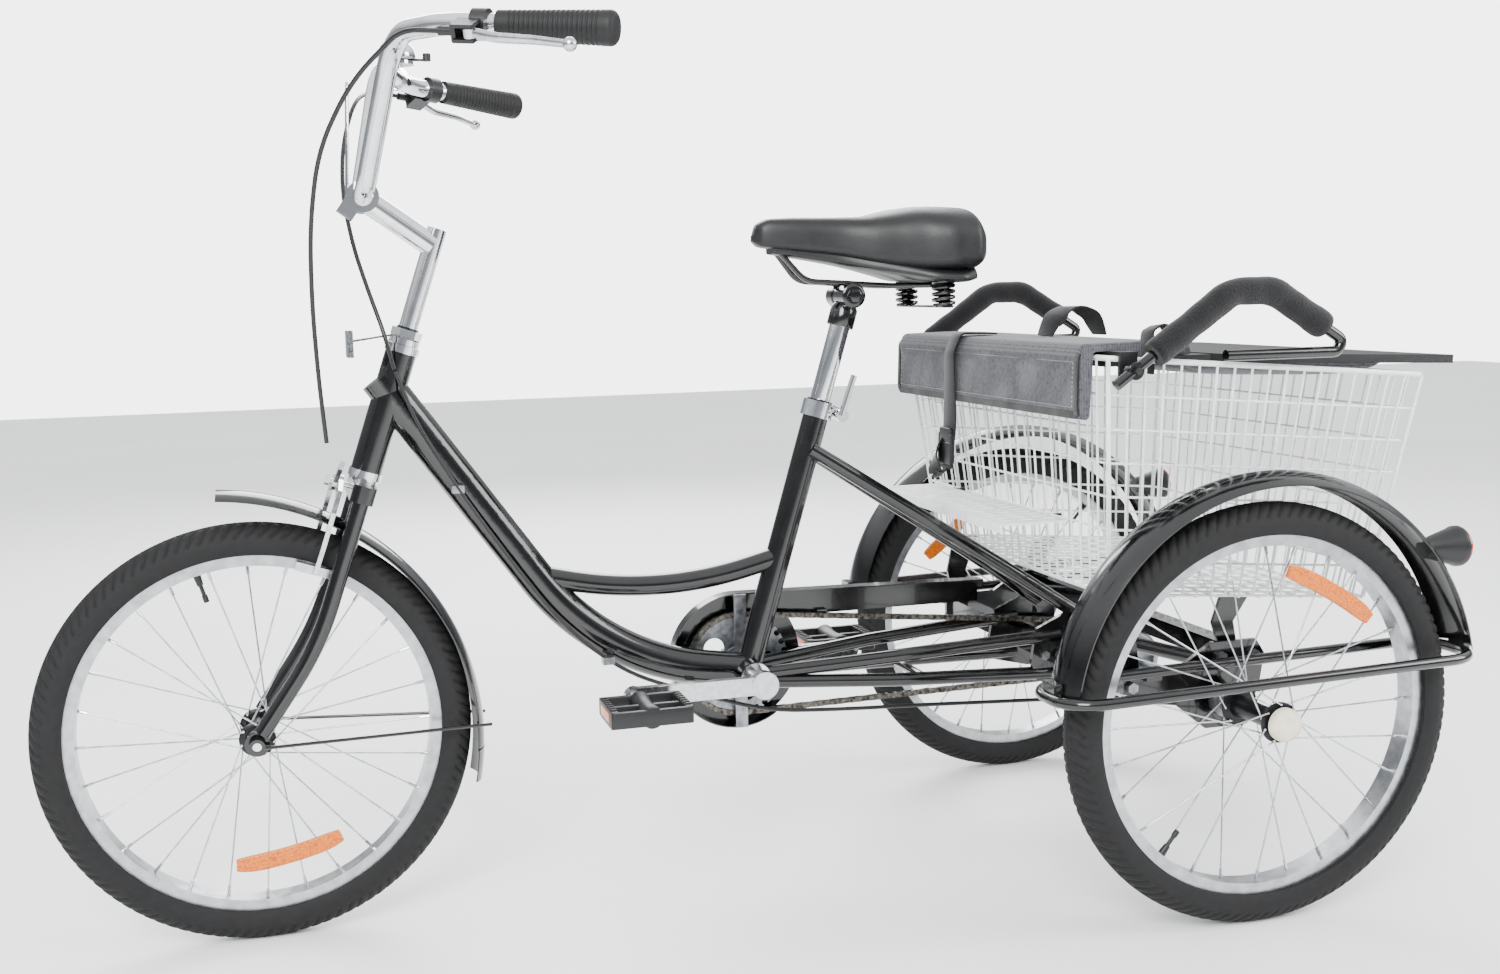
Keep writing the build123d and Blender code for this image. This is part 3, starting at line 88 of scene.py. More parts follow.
def grid(points, close_u=False, close_v=False, repeat=(1.0, 1.0), caps=False):
    """Quads between neighbours of points[u, v]; uv runs from 0 to repeat, and caps shut the two ends of u."""
    n, m = points.shape[:2]
    nu, nv = n if close_u else n - 1, m if close_v else m - 1
    i, j = [k.ravel() for k in np.meshgrid(np.arange(nu), np.arange(nv), indexing="ij")]
    corner = np.stack([np.stack([i + a, j + b], -1) for a, b in ((0, 0), (1, 0), (1, 1), (0, 1))], 1)
    quads = (corner[..., 0] % n) * m + corner[..., 1] % m
    uv = corner / np.array((nu, nv)) * np.array(repeat)
    ends = [list(range(m)), list(range((n - 1) * m, n * m))[::-1]] if caps else []
    return {"p": points.reshape(-1, 3), "q": quads, "uv": uv.reshape(-1, 2), "caps": ends}


def join(*parts):
    """Several surfaces as one."""
    start = np.cumsum([0] + [len(s["p"]) for s in parts])
    return {
        "p": np.concatenate([s["p"] for s in parts]),
        "q": np.concatenate([s["q"] + a for s, a in zip(parts, start)]),
        "uv": np.concatenate([s["uv"] for s in parts]),
        "caps": [[i + int(a) for i in cap] for s, a in zip(parts, start) for cap in s["caps"]],
    }


def copies(surface, shifts, turns=None):
    """The surface repeated: point p of copy k is turns[k] p + shifts[k], or only shifted."""
    n, m = len(shifts), len(surface["p"])
    turns = np.repeat(np.eye(3)[None], n, 0) if turns is None else turns
    points = np.einsum("kij,mj->kmi", np.asarray(turns, float), surface["p"]) + np.asarray(shifts)[:, None]
    return {
        "p": points.reshape(-1, 3),
        "q": (surface["q"][None] + (np.arange(n) * m)[:, None, None]).reshape(-1, 4),
        "uv": np.tile(surface["uv"], (n, 1)),
        "caps": [[i + k * m for i in cap] for k in range(n) for cap in surface["caps"]],
    }


def mirrored(surface):
    """The same surface on the other side of the tricycle."""
    return {**surface, "p": surface["p"] * (1, -1, 1)}


def turned(profile, centre, axis=(0, 1, 0), sides=64, loop=False):
    """Profile of (along, radius) turned about an axis: centre + along * axis + radius * (a cos t + b sin t)."""
    profile, axis = np.asarray(profile, float), unit(axis)
    a = unit(np.cross(axis, (0, 0, 1) if abs(axis[2]) < 0.9 else (1, 0, 0)))
    t = np.linspace(0, math.tau, sides, endpoint=False)[:, None]
    ring = a * np.cos(t) + np.cross(axis, a) * np.sin(t)
    points = np.asarray(centre) + profile[:, None, :1] * axis + profile[:, None, 1:] * ring
    return grid(points, loop, True, caps=not loop)


def rounded(points, radii, count=9):
    """Straight runs joined by arcs: at each corner the two tangent points are swung about the arc's centre."""
    points = [np.array(p, float) for p in points]
    line = [points[0]]
    for before, here, after, r in zip(points, points[1:], points[2:], radii):
        a, b = unit(before - here), unit(after - here)
        half = math.acos(float(np.clip(a @ b, -1, 1))) / 2
        centre, swing = here + unit(a + b) * r / math.sin(half), math.pi - 2 * half
        start, end = here + a * r / math.tan(half) - centre, here + b * r / math.tan(half) - centre
        t = np.linspace(0, 1, count)[:, None]
        line.extend(centre + (np.sin((1 - t) * swing) * start + np.sin(t * swing) * end) / math.sin(swing))
    return np.array(line + [points[-1]])


def along(path, step):
    """The same line with a point about every step, so that a pattern on it is even."""
    length = np.concatenate([[0], np.cumsum(np.linalg.norm(np.diff(path, axis=0), axis=1))])
    at = np.linspace(0, length[-1], max(2, int(length[-1] / step) + 1))
    return np.stack([np.interp(at, length, path[:, k]) for k in range(path.shape[1])], 1)


def carried(path, section, up=None, grow=1.0, closed=False, repeat=(1.0, 1.0)):
    """Section (s, t) carried along a path: path + grow * (s * side + t * top), where side = tangent x up."""
    path = np.asarray(path, float)
    tangent = unit(np.roll(path, -1, 0) - np.roll(path, 1, 0) if closed else np.gradient(path, axis=0))
    if up is None:
        up = np.linalg.svd(path - path.mean(0))[2][-1]
    side = unit(np.cross(tangent, up))
    top = np.cross(side, tangent)
    size = np.broadcast_to(grow, len(path))[:, None, None] * np.asarray(section)[None]
    points = path[:, None] + side[:, None] * size[..., :1] + top[:, None] * size[..., 1:]
    return grid(points, closed, True, repeat, caps=not closed)


def circle(radius, sides=16, flat=1.0):
    """Round section, or an oval one when flat isn't 1."""
    t = np.linspace(0, math.tau, sides, endpoint=False)
    return np.stack([radius * np.cos(t), radius * flat * np.sin(t)], 1)


def rods(starts, ends, radius, sides=8):
    """Many straight round bars at once: start + (end - start) * u + radius * (a cos t + b sin t)."""
    starts, ends = np.asarray(starts, float), np.asarray(ends, float)
    way = unit(ends - starts)
    ref = np.where(np.abs(way[:, 2:]) < 0.9, (0.0, 0.0, 1.0), (1.0, 0.0, 0.0))
    a = unit(np.cross(way, ref))
    t = np.linspace(0, math.tau, sides, endpoint=False)[None, :, None]
    ring = radius * (a[:, None] * np.cos(t) + np.cross(way, a)[:, None] * np.sin(t))
    one = grid(np.zeros((2, sides, 3)), False, True, caps=True)
    bars = copies(one, starts)
    bars["p"] = np.stack([starts[:, None] + ring, ends[:, None] + ring], 1).reshape(-1, 3)
    return bars


def rounded_rectangle(half_a, half_b, corner, count=5):
    """Closed outline: four quarter circles of radius corner round the ends of a smaller rectangle."""
    t = np.linspace(0, math.pi / 2, count)
    arcs = [
        np.stack([sa * (half_a - corner) + corner * np.cos(t + k), sb * (half_b - corner) + corner * np.sin(t + k)], 1)
        for k, sa, sb in ((0, 1, 1), (math.pi / 2, -1, 1), (math.pi, -1, -1), (3 * math.pi / 2, 1, -1))
    ]
    return np.concatenate(arcs)


def block(centre, size, corner=2.0, edge=1.0, turn=np.eye(3)):
    """Rounded rectangle in a, b, raised along c with both rims eased: inset = edge * (1 - cos w)."""
    w = np.linspace(-math.pi / 2, math.pi / 2, 8)
    half = np.array(size) / 2
    rings = []
    for k in w:
        inset = edge * (1 - math.cos(k))
        outline = rounded_rectangle(half[0] - inset, half[1] - inset, max(corner - inset, 0.2))
        c = math.copysign(half[2] - edge, k) + edge * math.sin(k)
        rings.append(np.column_stack([outline, np.full(len(outline), c)]))
    return grid(np.array(rings) @ np.asarray(turn, float).T + np.asarray(centre), False, True, caps=True)


def power(v, exponent):
    """sgn(v) |v| ** exponent, which squares off a cosine or a sine."""
    return np.sign(v) * np.abs(v) ** exponent


def eased(x, xs, ys):
    """Smooth line through (xs, ys) without overshoot: cubic pieces whose slopes are harmonic means."""
    xs, ys = np.asarray(xs, float), np.asarray(ys, float)
    h, d = np.diff(xs), np.diff(ys) / np.diff(xs)
    same = d[:-1] * d[1:] > 0
    inner = np.where(same, 2 * d[:-1] * d[1:] / np.where(same, d[:-1] + d[1:], 1), 0)
    slope = np.concatenate([[d[0]], inner, [d[-1]]])
    k = np.clip(np.searchsorted(xs, x) - 1, 0, len(h) - 1)
    t = np.clip((x - xs[k]) / h[k], 0, 1)
    return (
        ys[k] * (1 + 2 * t) * (1 - t) ** 2 + ys[k + 1] * t * t * (3 - 2 * t)
        + h[k] * t * (1 - t) * (slope[k] * (1 - t) - slope[k + 1] * t)
    )


def place(name, body, surface, finish, replaces=(), sharp=38):
    """Make the mesh in metres, its normals outward and its hard edges kept, and let it ride its body."""
    mesh = bpy.data.meshes.new(name)
    mesh.from_pydata(((surface["p"] + ORIGIN) * MM).tolist(), [], surface["q"].tolist() + surface["caps"])
    uv = np.zeros((len(mesh.loops), 2))
    uv[: len(surface["uv"])] = surface["uv"]
    mesh.uv_layers.new(name="UVMap").data.foreach_set("uv", uv.ravel())
    shell = bmesh.new()
    shell.from_mesh(mesh)
    bmesh.ops.recalc_face_normals(shell, faces=shell.faces)
    shell.to_mesh(mesh)
    shell.free()
    mesh.shade_smooth()
    mesh.set_sharp_from_angle(angle=math.radians(sharp))
    mesh.materials.append(finish)
    piece = bpy.data.objects.new(name, mesh)
    bpy.context.scene.collection.objects.link(piece)
    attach(piece, body)
    if replaces:
        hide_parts(*replaces)
    print(f"{name}: {len(mesh.polygons)} faces on {body}")
    return piece


# %% [markdown]
# ## Materials
# Each finish starts from what the part is made of. One helper adds a node with its settings and links; numbers
# that are the same all over stay on the shader's own sockets. Patterns read object coordinates in metres, or a
# piece's own UV map where the pattern has to follow the surface, and their scales come from real sizes.

# %% Colour and node helpers
def linear(code):
    """sRGB hex to linear RGBA: c / 12.92 below 0.04045, else ((c + 0.055) / 1.055) ** 2.4."""
    c = np.array([int(code[i : i + 2], 16) / 255 for i in (1, 3, 5)])
    c = np.where(c <= 0.04045, c / 12.92, ((c + 0.055) / 1.055) ** 2.4)
    return (*c, 1.0)


def add(finish, kind, inputs=None, **settings):
    """A new node of that kind: settings are set, and each input gets its value or its link."""
    node = finish.node_tree.nodes.new("ShaderNode" + kind)
    for key, value in settings.items():
        setattr(node, key, value)
    for key, value in (inputs or {}).items():
        if isinstance(value, bpy.types.NodeSocket):
            finish.node_tree.links.new(value, node.inputs[key])
        else:
            node.inputs[key].default_value = value
    return node


def material(name, colour, roughness, **sockets):
    """A material whose Principled shader holds the constants given."""
    finish = bpy.data.materials.new(name)
    finish.use_nodes = True
    shader = finish.node_tree.nodes["Principled BSDF"]
    shader.inputs["Base Color"].default_value = linear(colour)
    shader.inputs["Roughness"].default_value = roughness
    for key, value in sockets.items():
        shader.inputs[key.replace("_", " ")].default_value = value
    return finish, shader.inputs


def wire_up(finish, source, socket):
    """Link a node's output to one of the shader's sockets."""
    finish.node_tree.links.new(source, socket)


def on_object(finish):
    """The object's own coordinates, in metres."""
    return add(finish, "TexCoord").outputs["Object"]


def ramp(finish, value, first, last, stops=(0.0, 1.0)):
    """Colour from first to last as the value goes from one stop to the other."""
    node = add(finish, "ValToRGB", {"Fac": value})
    for element, at, code in zip(node.color_ramp.elements, stops, (first, last)):
        element.position, element.color = at, linear(code)
    return node.outputs[0]


def relief(finish, sockets, height, depth_mm, strength=1.0):
    """Bump of that depth on the shader's normal."""
    bump = add(finish, "Bump", {"Height": height, "Distance": depth_mm * MM, "Strength": strength})
    wire_up(finish, bump.outputs[0], sockets["Normal"])


def cells(finish, pitch_mm):
    """Distance from the middle of the nearest of many small cells."""
    return add(finish, "TexVoronoi", {"Vector": on_object(finish), "Scale": 1000 / pitch_mm}).outputs["Distance"]


def mottle(finish, sockets, size_mm, dark, light, rough=None, bump=None, detail=3.0, stretch=(1, 1, 1)):
    """Noise of that grain size in the colour, and if asked in the roughness and the bump height (mm)."""
    scaled = add(finish, "Mapping", {"Vector": on_object(finish), "Scale": stretch}).outputs[0]
    noise = add(finish, "TexNoise", {"Vector": scaled, "Scale": 1000 / size_mm, "Detail": detail}).outputs[0]
    wire_up(finish, ramp(finish, noise, dark, light, (0.35, 0.65)), sockets["Base Color"])
    if rough:
        spread = add(finish, "MapRange", {"Value": noise, "To Min": rough[0], "To Max": rough[1]})
        wire_up(finish, spread.outputs[0], sockets["Roughness"])
    if bump:
        relief(finish, sockets, noise, bump, 0.6)


print("helpers ready")

# %% [markdown]
# The frame is steel tube under sprayed black enamel: a hard glossy coat with a faint orange peel of about 3 mm
# and a thin film of dust that breaks up the reflections. Bright parts are nickel and chrome plate, whose film
# hides every tool mark, while the rims are aluminium turned on a lathe and left satin.

# %% Paint and metals
ENAMEL, s = material("sprayed_black_enamel", "#050505", 0.16, Coat_Weight=0.4, Coat_Roughness=0.04)
mottle(ENAMEL, s, 26, "#040404", "#080809", rough=(0.1, 0.22), detail=5)
peel = add(ENAMEL, "TexNoise", {"Vector": on_object(ENAMEL), "Scale": 1000 / 3, "Detail": 1.0})
relief(ENAMEL, s, peel.outputs[0], 0.05, 0.4)

CHROME, s = material("bright_chrome_plate", "#dddfe2", 0.05, Metallic=1.0)
mottle(CHROME, s, 30, "#d3d5d8", "#e6e7e9", rough=(0.035, 0.12), detail=6)

ALLOY, s = material("polished_aluminium", "#c9cbcd", 0.22, Metallic=1.0)
mottle(ALLOY, s, 7, "#bcbec0", "#d4d6d8", rough=(0.16, 0.3), bump=0.02, detail=6)

SATIN, s = material("turned_satin_aluminium", "#b4b6b9", 0.34, Metallic=1.0)
mottle(SATIN, s, 14, "#a6a8ab", "#c3c5c8", rough=(0.26, 0.42), bump=0.02, detail=8)

SPOKE, s = material("drawn_stainless_wire", "#c6c8ca", 0.2, Metallic=1.0)
mottle(SPOKE, s, 12, "#b2b4b6", "#d6d8da", rough=(0.14, 0.3), detail=3)

ZINC, s = material("zinc_plated_steel", "#8c8f93", 0.38, Metallic=1.0)
mottle(ZINC, s, 9, "#74777b", "#a3a6aa", rough=(0.28, 0.5), bump=0.03, detail=6)

CHAIN_STEEL, s = material("oiled_chain_steel", "#4b4843", 0.34, Metallic=0.9)
mottle(CHAIN_STEEL, s, 5, "#2c2a27", "#77736c", rough=(0.22, 0.5), detail=4)

HUB_BLACK, s = material("anodised_black_aluminium", "#17181a", 0.3, Metallic=0.4)
mottle(HUB_BLACK, s, 8, "#0b0c0d", "#161719", rough=(0.22, 0.4), bump=0.02, detail=4)
print("paint and metals:", len(bpy.data.materials))

# %% [markdown]
# Rubber is never quite black: carbon-filled tread rubber goes grey where it has been handled and has a fine
# moulded grain. The grips are softer and darker. The cable sheath is smooth extruded plastic. Foam sleeving has
# open cells of about 1 mm that swallow the light, so it is the darkest and dullest thing here.

# %% Rubber and plastics
TREAD, s = material("moulded_tyre_rubber", "#1b1b1c", 0.78, Specular_IOR_Level=0.35)
mottle(TREAD, s, 9, "#0b0b0c", "#161617", rough=(0.66, 0.88), bump=0.12, detail=8)

GRIP, s = material("soft_grip_rubber", "#111112", 0.6, Specular_IOR_Level=0.4)
mottle(GRIP, s, 4, "#070708", "#0f0f10", rough=(0.5, 0.7), bump=0.06, detail=5)

MOULDED, s = material("moulded_black_plastic", "#131415", 0.42)
mottle(MOULDED, s, 2.4, "#08080a", "#0f1011", rough=(0.36, 0.5), bump=0.04, detail=4)

SHEATH, s = material("extruded_cable_sheath", "#0e0e0f", 0.36)
mottle(SHEATH, s, 20, "#060607", "#0c0c0d", rough=(0.28, 0.44), detail=3)

COATED, s = material("white_dip_coated_wire", "#f0f1f1", 0.34, Coat_Weight=0.3, Coat_Roughness=0.2)
mottle(COATED, s, 11, "#e6e8e8", "#f6f7f7", rough=(0.28, 0.42), bump=0.08, detail=3)

CREAM, s = material("cream_moulded_plastic", "#e6dfc9", 0.4, Subsurface_Weight=0.05)
mottle(CREAM, s, 12, "#ddd4ba", "#ece6d3", rough=(0.34, 0.48), detail=3)

FOAM, s = material("open_cell_foam", "#161617", 0.95, Specular_IOR_Level=0.15, Sheen_Weight=0.15, Sheen_Roughness=0.6)
mottle(FOAM, s, 2.2, "#080809", "#141416", detail=6)
relief(FOAM, s, cells(FOAM, 2.2), 0.6, 0.7)

BOARD, s = material("grained_black_laminate", "#141415", 0.48)
mottle(BOARD, s, 6, "#0a0a0b", "#131315", rough=(0.4, 0.58), bump=0.06, detail=7, stretch=(1, 0.2, 1))

VINYL, s = material("embossed_saddle_vinyl", "#101011", 0.46, Specular_IOR_Level=0.45)
mottle(VINYL, s, 14, "#070708", "#0d0d0f", rough=(0.38, 0.54), detail=4)
# leather-like creases about 1.6 mm apart
relief(VINYL, s, cells(VINYL, 1.6), 0.18, 0.5)
print("rubber and plastics:", len(bpy.data.materials))

# %% [markdown]
# A spoke reflector is amber acrylic with rows of tiny cube corners moulded in its back, about 2.5 mm apart; the
# tail lens is red, and the small one at the headset is smoked. All are clear plastic over a pattern, so they get a
# smooth coat and a colour that changes across each cell.

# %% Reflectors and lens
def lens(name, colour, roughness, pitch_mm, depth_mm, middle, edge, **sockets):
    """Clear plastic over moulded cells, coloured from each cell's middle to its edge."""
    finish, s = material(name, colour, roughness, **sockets)
    cell = cells(finish, pitch_mm)
    wire_up(finish, ramp(finish, cell, middle, edge), s["Base Color"])
    relief(finish, s, cell, depth_mm)
    return finish


AMBER = lens("amber_prism_acrylic", "#e07a00", 0.3, 2.5, 0.5, "#f08200", "#b34a00",
             Coat_Weight=0.3, Coat_Roughness=0.05, Specular_IOR_Level=0.3)
RED = lens("red_ringed_acrylic", "#a30c12", 0.14, 4, 0.3, "#c8141a", "#7c070c",
           Coat_Weight=1.0, Coat_Roughness=0.03, Subsurface_Weight=0.15)
CLEAR = lens("smoked_reflector", "#2a2b2e", 0.16, 3, 0.4, "#6a6d72", "#1a1b1d", Coat_Weight=1.0, Coat_Roughness=0.03)
print("lenses:", AMBER.name, RED.name, CLEAR.name)

# %% [markdown]
# The seat cover is a heather weave: two dark greys spun together, so single threads differ while the whole reads
# as charcoal. Threads are about 1 mm; they are drawn 2 mm apart here so that they show from a few steps away.
# Webbing is a plain twill, whose ribs slant across the strap every 3 mm and follow the strap's own UV map.

# %% Cloths
def weave(name, dark, light, thread_mm, uv_mm=None, slant=0.0):
    """Two crossing sine waves make over and under threads; noise picks each thread's own grey."""
    finish, s = material(name, dark, 0.92, Specular_IOR_Level=0.2, Sheen_Weight=0.25, Sheen_Roughness=0.5)
    where = add(finish, "TexCoord").outputs["UV" if uv_mm else "Object"]
    size = uv_mm or (1000.0, 1000.0, 1000.0)
    at = add(finish, "Mapping", {"Vector": where, "Scale": size, "Rotation": (0, 0, slant)}).outputs[0]
    waves = []
    for axis in ("X", "Y"):
        wave = add(finish, "TexWave", {"Vector": at, "Scale": math.pi / 10 / thread_mm, "Distortion": 0.6},
                   bands_direction=axis)
        waves.append(wave.outputs[1])
    height = add(finish, "Math", {0: waves[0], 1: waves[1]}, operation="MULTIPLY").outputs[0]
    grain = {"Vector": at, "Scale": 0.5 / thread_mm, "Detail": 4.0, "Roughness": 0.75}
    fleck = add(finish, "TexNoise", grain).outputs[0]
    both = add(finish, "Math", {0: fleck, 1: height, 2: fleck}, operation="MULTIPLY_ADD").outputs[0]
    wire_up(finish, ramp(finish, both, dark, light, (0.35, 0.85)), s["Base Color"])
    relief(finish, s, both, 0.35, 0.8)
    return finish


HEATHER = weave("heather_woven_polyester", "#1d1d20", "#58585e", 2.0)
BINDING = weave("ribbed_binding_tape", "#0b0b0c", "#19191c", 1.2)
WEBBING = weave("twill_webbing", "#080809", "#17171a", 3.0, uv_mm=(400.0, 60.0, 1.0), slant=0.6)
THREAD, s = material("pale_stitching_thread", "#8d8d92", 0.8, Sheen_Weight=0.2)
mottle(THREAD, s, 2, "#76767b", "#a3a3a8", bump=0.1)
print("cloths:", HEATHER.name, BINDING.name, WEBBING.name)

# %% [markdown]
# ## Parts whose working shape is already right
# Tubes, plates, brackets and rims keep their CAD meshes. Each only gets the finish it has on the real tricycle.

# %% Finishes for CAD nodes
FINISHES = {
    ENAMEL: "front_frame rear_stays fork front_mudguard rear_mudguards guard_rails chain_guard rear_carriage "
            "basket_brackets",
    CHROME: "handlebar stem bearing_cups seat_collar seat_quick_release bell fork_fittings",
    ALLOY: "crank_arms brake_arm_left brake_arm_right",
    SATIN: "front_rim left_rim right_rim",
    ZINC: "guard_bracket axle_bearings rear_axle band_brake rear_brake_arm frame_bolts chainring",
    MOULDED: "lever_brackets bell_lever",
    SHEATH: "front_brake_cable rear_cable_upper rear_brake_cable",
    COATED: "footrest",
    CLEAR: "front_reflector",
    BOARD: "seat_board backrest_board",
}
for finish, names in FINISHES.items():
    for name in names.split():
        mesh = NODES[name].data
        mesh.materials.clear()
        mesh.materials.append(finish)
print("finished nodes:", sum(len(names.split()) for names in FINISHES.values()))


# %% [markdown]
# ## Tyres
# Each tyre is a moulded casing with zig-zag blocks on its shoulders and a ribbed crown. The section is carried
# round the wheel as a grid, and the grooves are cut by moving its points inwards, so the tread is real relief.

# %% Tyres
TYRE_R, TYRE_HALF, TYRE_WALL, TYRE_STEPS = 247.0, 23.0, 6.0, 1180
WHEELS = {"front": ((WHEELBASE, 0.0, AXLE_Z), "front_wheel"), "left": ((0.0, HALF_TRACK, AXLE_Z), "rear_axle"),
          "right": ((0.0, -HALF_TRACK, AXLE_Z), "right_wheel")}
BLOCK_PITCH, GROOVE = 14.0, 1.9


def groove_depth(turn, across):
    """Depth in mm: slanting grooves between the shoulder blocks, two fine rings beside the crown, none on the wall."""
    phase = (turn * TYRE_R / BLOCK_PITCH + np.sign(across) * 0.25 + np.abs(across) * 0.05) % 1.0
    slot = np.clip(1.6 - np.abs(phase - 0.5) * 7.0, 0, 1)
    shoulder = np.clip((np.abs(across) - 5.5) / 1.5, 0, 1) * np.clip((30.0 - np.abs(across)) / 3.0, 0, 1)
    zig = 4.6 + 1.2 * np.abs((turn * TYRE_R / BLOCK_PITCH * 2) % 2 - 1)
    ring = np.clip(1.4 - np.abs(np.abs(across) - zig), 0, 1)
    wall_rib = 0.35 * np.clip(1.5 - np.abs(np.abs(across) - 38.0), 0, 1)
    return GROOVE * np.maximum(slot * shoulder, ring * 0.8) + wall_rib


def tyre(centre):
    """Outer arc of radius 23 about r = 224, closed by the inner arc of radius 17, carried round the axle."""
    middle, hollow = TYRE_R - TYRE_HALF, TYRE_HALF - TYRE_WALL
    out = np.linspace(-1, 1, 47) * math.radians(124.4)
    inn = np.linspace(1, -1, 9) * math.radians(139.0)
    turn = np.arange(TYRE_STEPS) / TYRE_STEPS * math.tau
    deep = groove_depth(turn[:, None], out[None] * TYRE_HALF)
    r_out = TYRE_HALF - deep
    r_in, y_in = [np.tile(k, (TYRE_STEPS, 1)) for k in (middle + hollow * np.cos(inn), hollow * np.sin(inn))]
    r = np.concatenate([middle + r_out * np.cos(out), r_in], 1)
    y = np.concatenate([r_out * np.sin(out), y_in], 1)
    points = np.stack([r * np.cos(turn)[:, None], y, r * np.sin(turn)[:, None]], -1) + np.array(centre)
    return grid(points, True, True, repeat=(110, 1))


for side, (centre, body) in WHEELS.items():
    place(f"{side}_tread", body, tyre(centre), TREAD, [f"{side}_tyre"], sharp=30)

# %% [markdown]
# ## Hubs, spokes and valves
# Twenty-eight drawn wire spokes cross twice between the hub flanges and the rim; each ends in a nipple. The
# rear hubs carry a domed cream cap outside. Spokes are many straight rods worked out in one array.

# %% Hubs and spokes
SPOKES, SPOKE_END_R = 28, 197.7


def spoke_ends(flange_r, flange_y):
    """Hub end and rim end of every spoke: even ones on the right flange, pairs leave opposite flange faces."""
    i = np.arange(SPOKES)
    side, pair = np.where(i % 2, 1, -1), i // 2
    outward = np.where(pair % 2, 1, -1)
    step = math.tau / (SPOKES // 2)
    rim = pair * step + np.where(side > 0, step / 2, 0)
    hub = rim + outward * 2 * step
    y = side * (flange_y + np.where(outward > 0, 0.6, 0) + outward * 2.5)
    start = np.stack([(flange_r - 3) * np.cos(hub), y, (flange_r - 3) * np.sin(hub)], 1)
    return start, np.stack([SPOKE_END_R * np.cos(rim), side * 2.0, SPOKE_END_R * np.sin(rim)], 1)


def hub_shell(half, flange_y, flange_r, bore):
    """Turned profile: waisted barrel between two rounded flanges, open along its bore."""
    f, r = flange_y, flange_r
    side = [(half, bore), (half, 12), (half - 1, 13.5), (f + 2, 13.8), (f + 1.4, r - 0.8), (f + 0.8, r),
            (f - 0.8, r), (f - 1.4, r - 0.8), (f - 2, 14), (f * 0.6, 12.2), (0, 11.6)]
    return side + [(-a, b) for a, b in side[-2::-1]]


for side, (centre, body) in WHEELS.items():
    at = np.array(centre)
    rear = side != "front"
    flange_r, flange_y, half, bore = (23.5, 37.5, 45.0, 7.6) if rear else (20.5, 30.0, 42.0, 5.1)
    start, end = spoke_ends(flange_r, flange_y)
    shell = turned(hub_shell(half, flange_y, flange_r, bore), at, sides=72, loop=True)
    place(f"{side}_hub_shell", body, shell, HUB_BLACK, [f"{side}_hub"])
    way = unit(end - start)
    wires = rods(at + start, at + end, 1.0, 10)
    heads = rods(at + start - way * 0.2, at + start + way * 2.2, 1.7, 10)
    nipples = rods(at + end - way * 11, at + end + way * 0.2, 1.9, 8)
    place(f"{side}_spokes", body, join(wires, heads, nipples), SPOKE)
    if rear:
        out = 1 if side == "left" else -1
        t = np.linspace(0, math.pi / 2, 14)
        dome = [(45.0, 19.4), (49.0, 19.5)] + [(49 + 12 * math.sin(k), 0.3 + 19.2 * math.cos(k)) for k in t]
        place(f"{side}_hub_cap", body, turned([(out * a, b) for a, b in dome], at, sides=72), CREAM)

VALVES = {"front": 73.6, "left": -51.1, "right": 130.0}
for side, (centre, body) in WHEELS.items():
    turn = math.radians(VALVES[side])
    out = np.array((math.cos(turn), 0, math.sin(turn)))
    stem = [(-34, 2.6), (-33, 3.2), (-26, 3.3), (-25, 2.4), (-14, 2.4), (-13, 3.6), (-2, 4.4), (4, 5.2)]
    place(f"{side}_valve", body, turned(stem, np.array(centre) + out * 198, out, 20), MOULDED)

# %% [markdown]
# Reflectors clip between the spokes: a shallow amber bow, rounded at its rim, about 120 mm long.

# %% Spoke reflectors
def reflector(centre, angles, radius, y):
    """Rounded bar carried along a shallow bow between two angles: r = radius - 7 sin(pi t)."""
    t = np.linspace(0, 1, 40)
    turn = np.radians(angles[0] + (angles[1] - angles[0]) * t)
    bow = radius - 7.0 * np.sin(math.pi * t)
    path = np.stack([bow * np.cos(turn), np.full(40, y), bow * np.sin(turn)], 1) + np.array(centre)
    taper = 1 - 0.3 * np.abs(2 * t - 1) ** 6
    return carried(path, rounded_rectangle(10.0, 3.2, 2.2), up=(0, 1, 0), grow=taper)


REFLECTORS = {"front": ((-124, -78), 157, 12), "left": ((98, 142), 169, 13), "right": ((33, 62), 168, 12)}
for side, (angles, radius, y) in REFLECTORS.items():
    centre, body = WHEELS[side]
    place(f"{side}_reflector", body, reflector(centre, angles, radius, y), AMBER)

# %% [markdown]
# ## Grips and brake levers
# Soft grips have raised rings every 5 mm between two plain bands. The levers are forged alloy blades, wider than
# they are thick, that end in a ball.

# %% Grips and levers
GRIP_IN = np.array((838.0, 264.0, 1006.0))
GRIP_DIR = unit((-0.866, 0.494, -0.087))
LEVER_AT = GRIP_IN - GRIP_DIR * 18
LEVER_OUT = np.array((0.494, 0.866, 0)) * 0.92 + np.array((0, 0, -0.39))
LEVER_OUT = unit(LEVER_OUT - GRIP_DIR * (LEVER_OUT @ GRIP_DIR))
LEVER_AXIS = np.cross(LEVER_OUT, GRIP_DIR)


def grip():
    """Turned about the bar: r = 14.2 + 3 a / 115, less 0.9 mm grooves every 5 mm, with a rounded end."""
    a = np.linspace(0, 115, 231)
    groove = 0.9 * np.clip(np.cos(math.tau * a / 5.0) * 2, 0, 1) * ((a > 12) & (a < 106))
    body = list(zip(a, 14.2 + 3 * a / 115 - groove))
    t = np.linspace(0.1, 1, 10) * math.pi / 2
    return turned(body + [(115 + 7 * math.sin(k), 10.2 + 7 * math.cos(k)) for k in t], GRIP_IN, GRIP_DIR, 56)


both = grip()
place("grips_ribbed", "steering", join(both, mirrored(both)), GRIP, ["grips"], sharp=60)


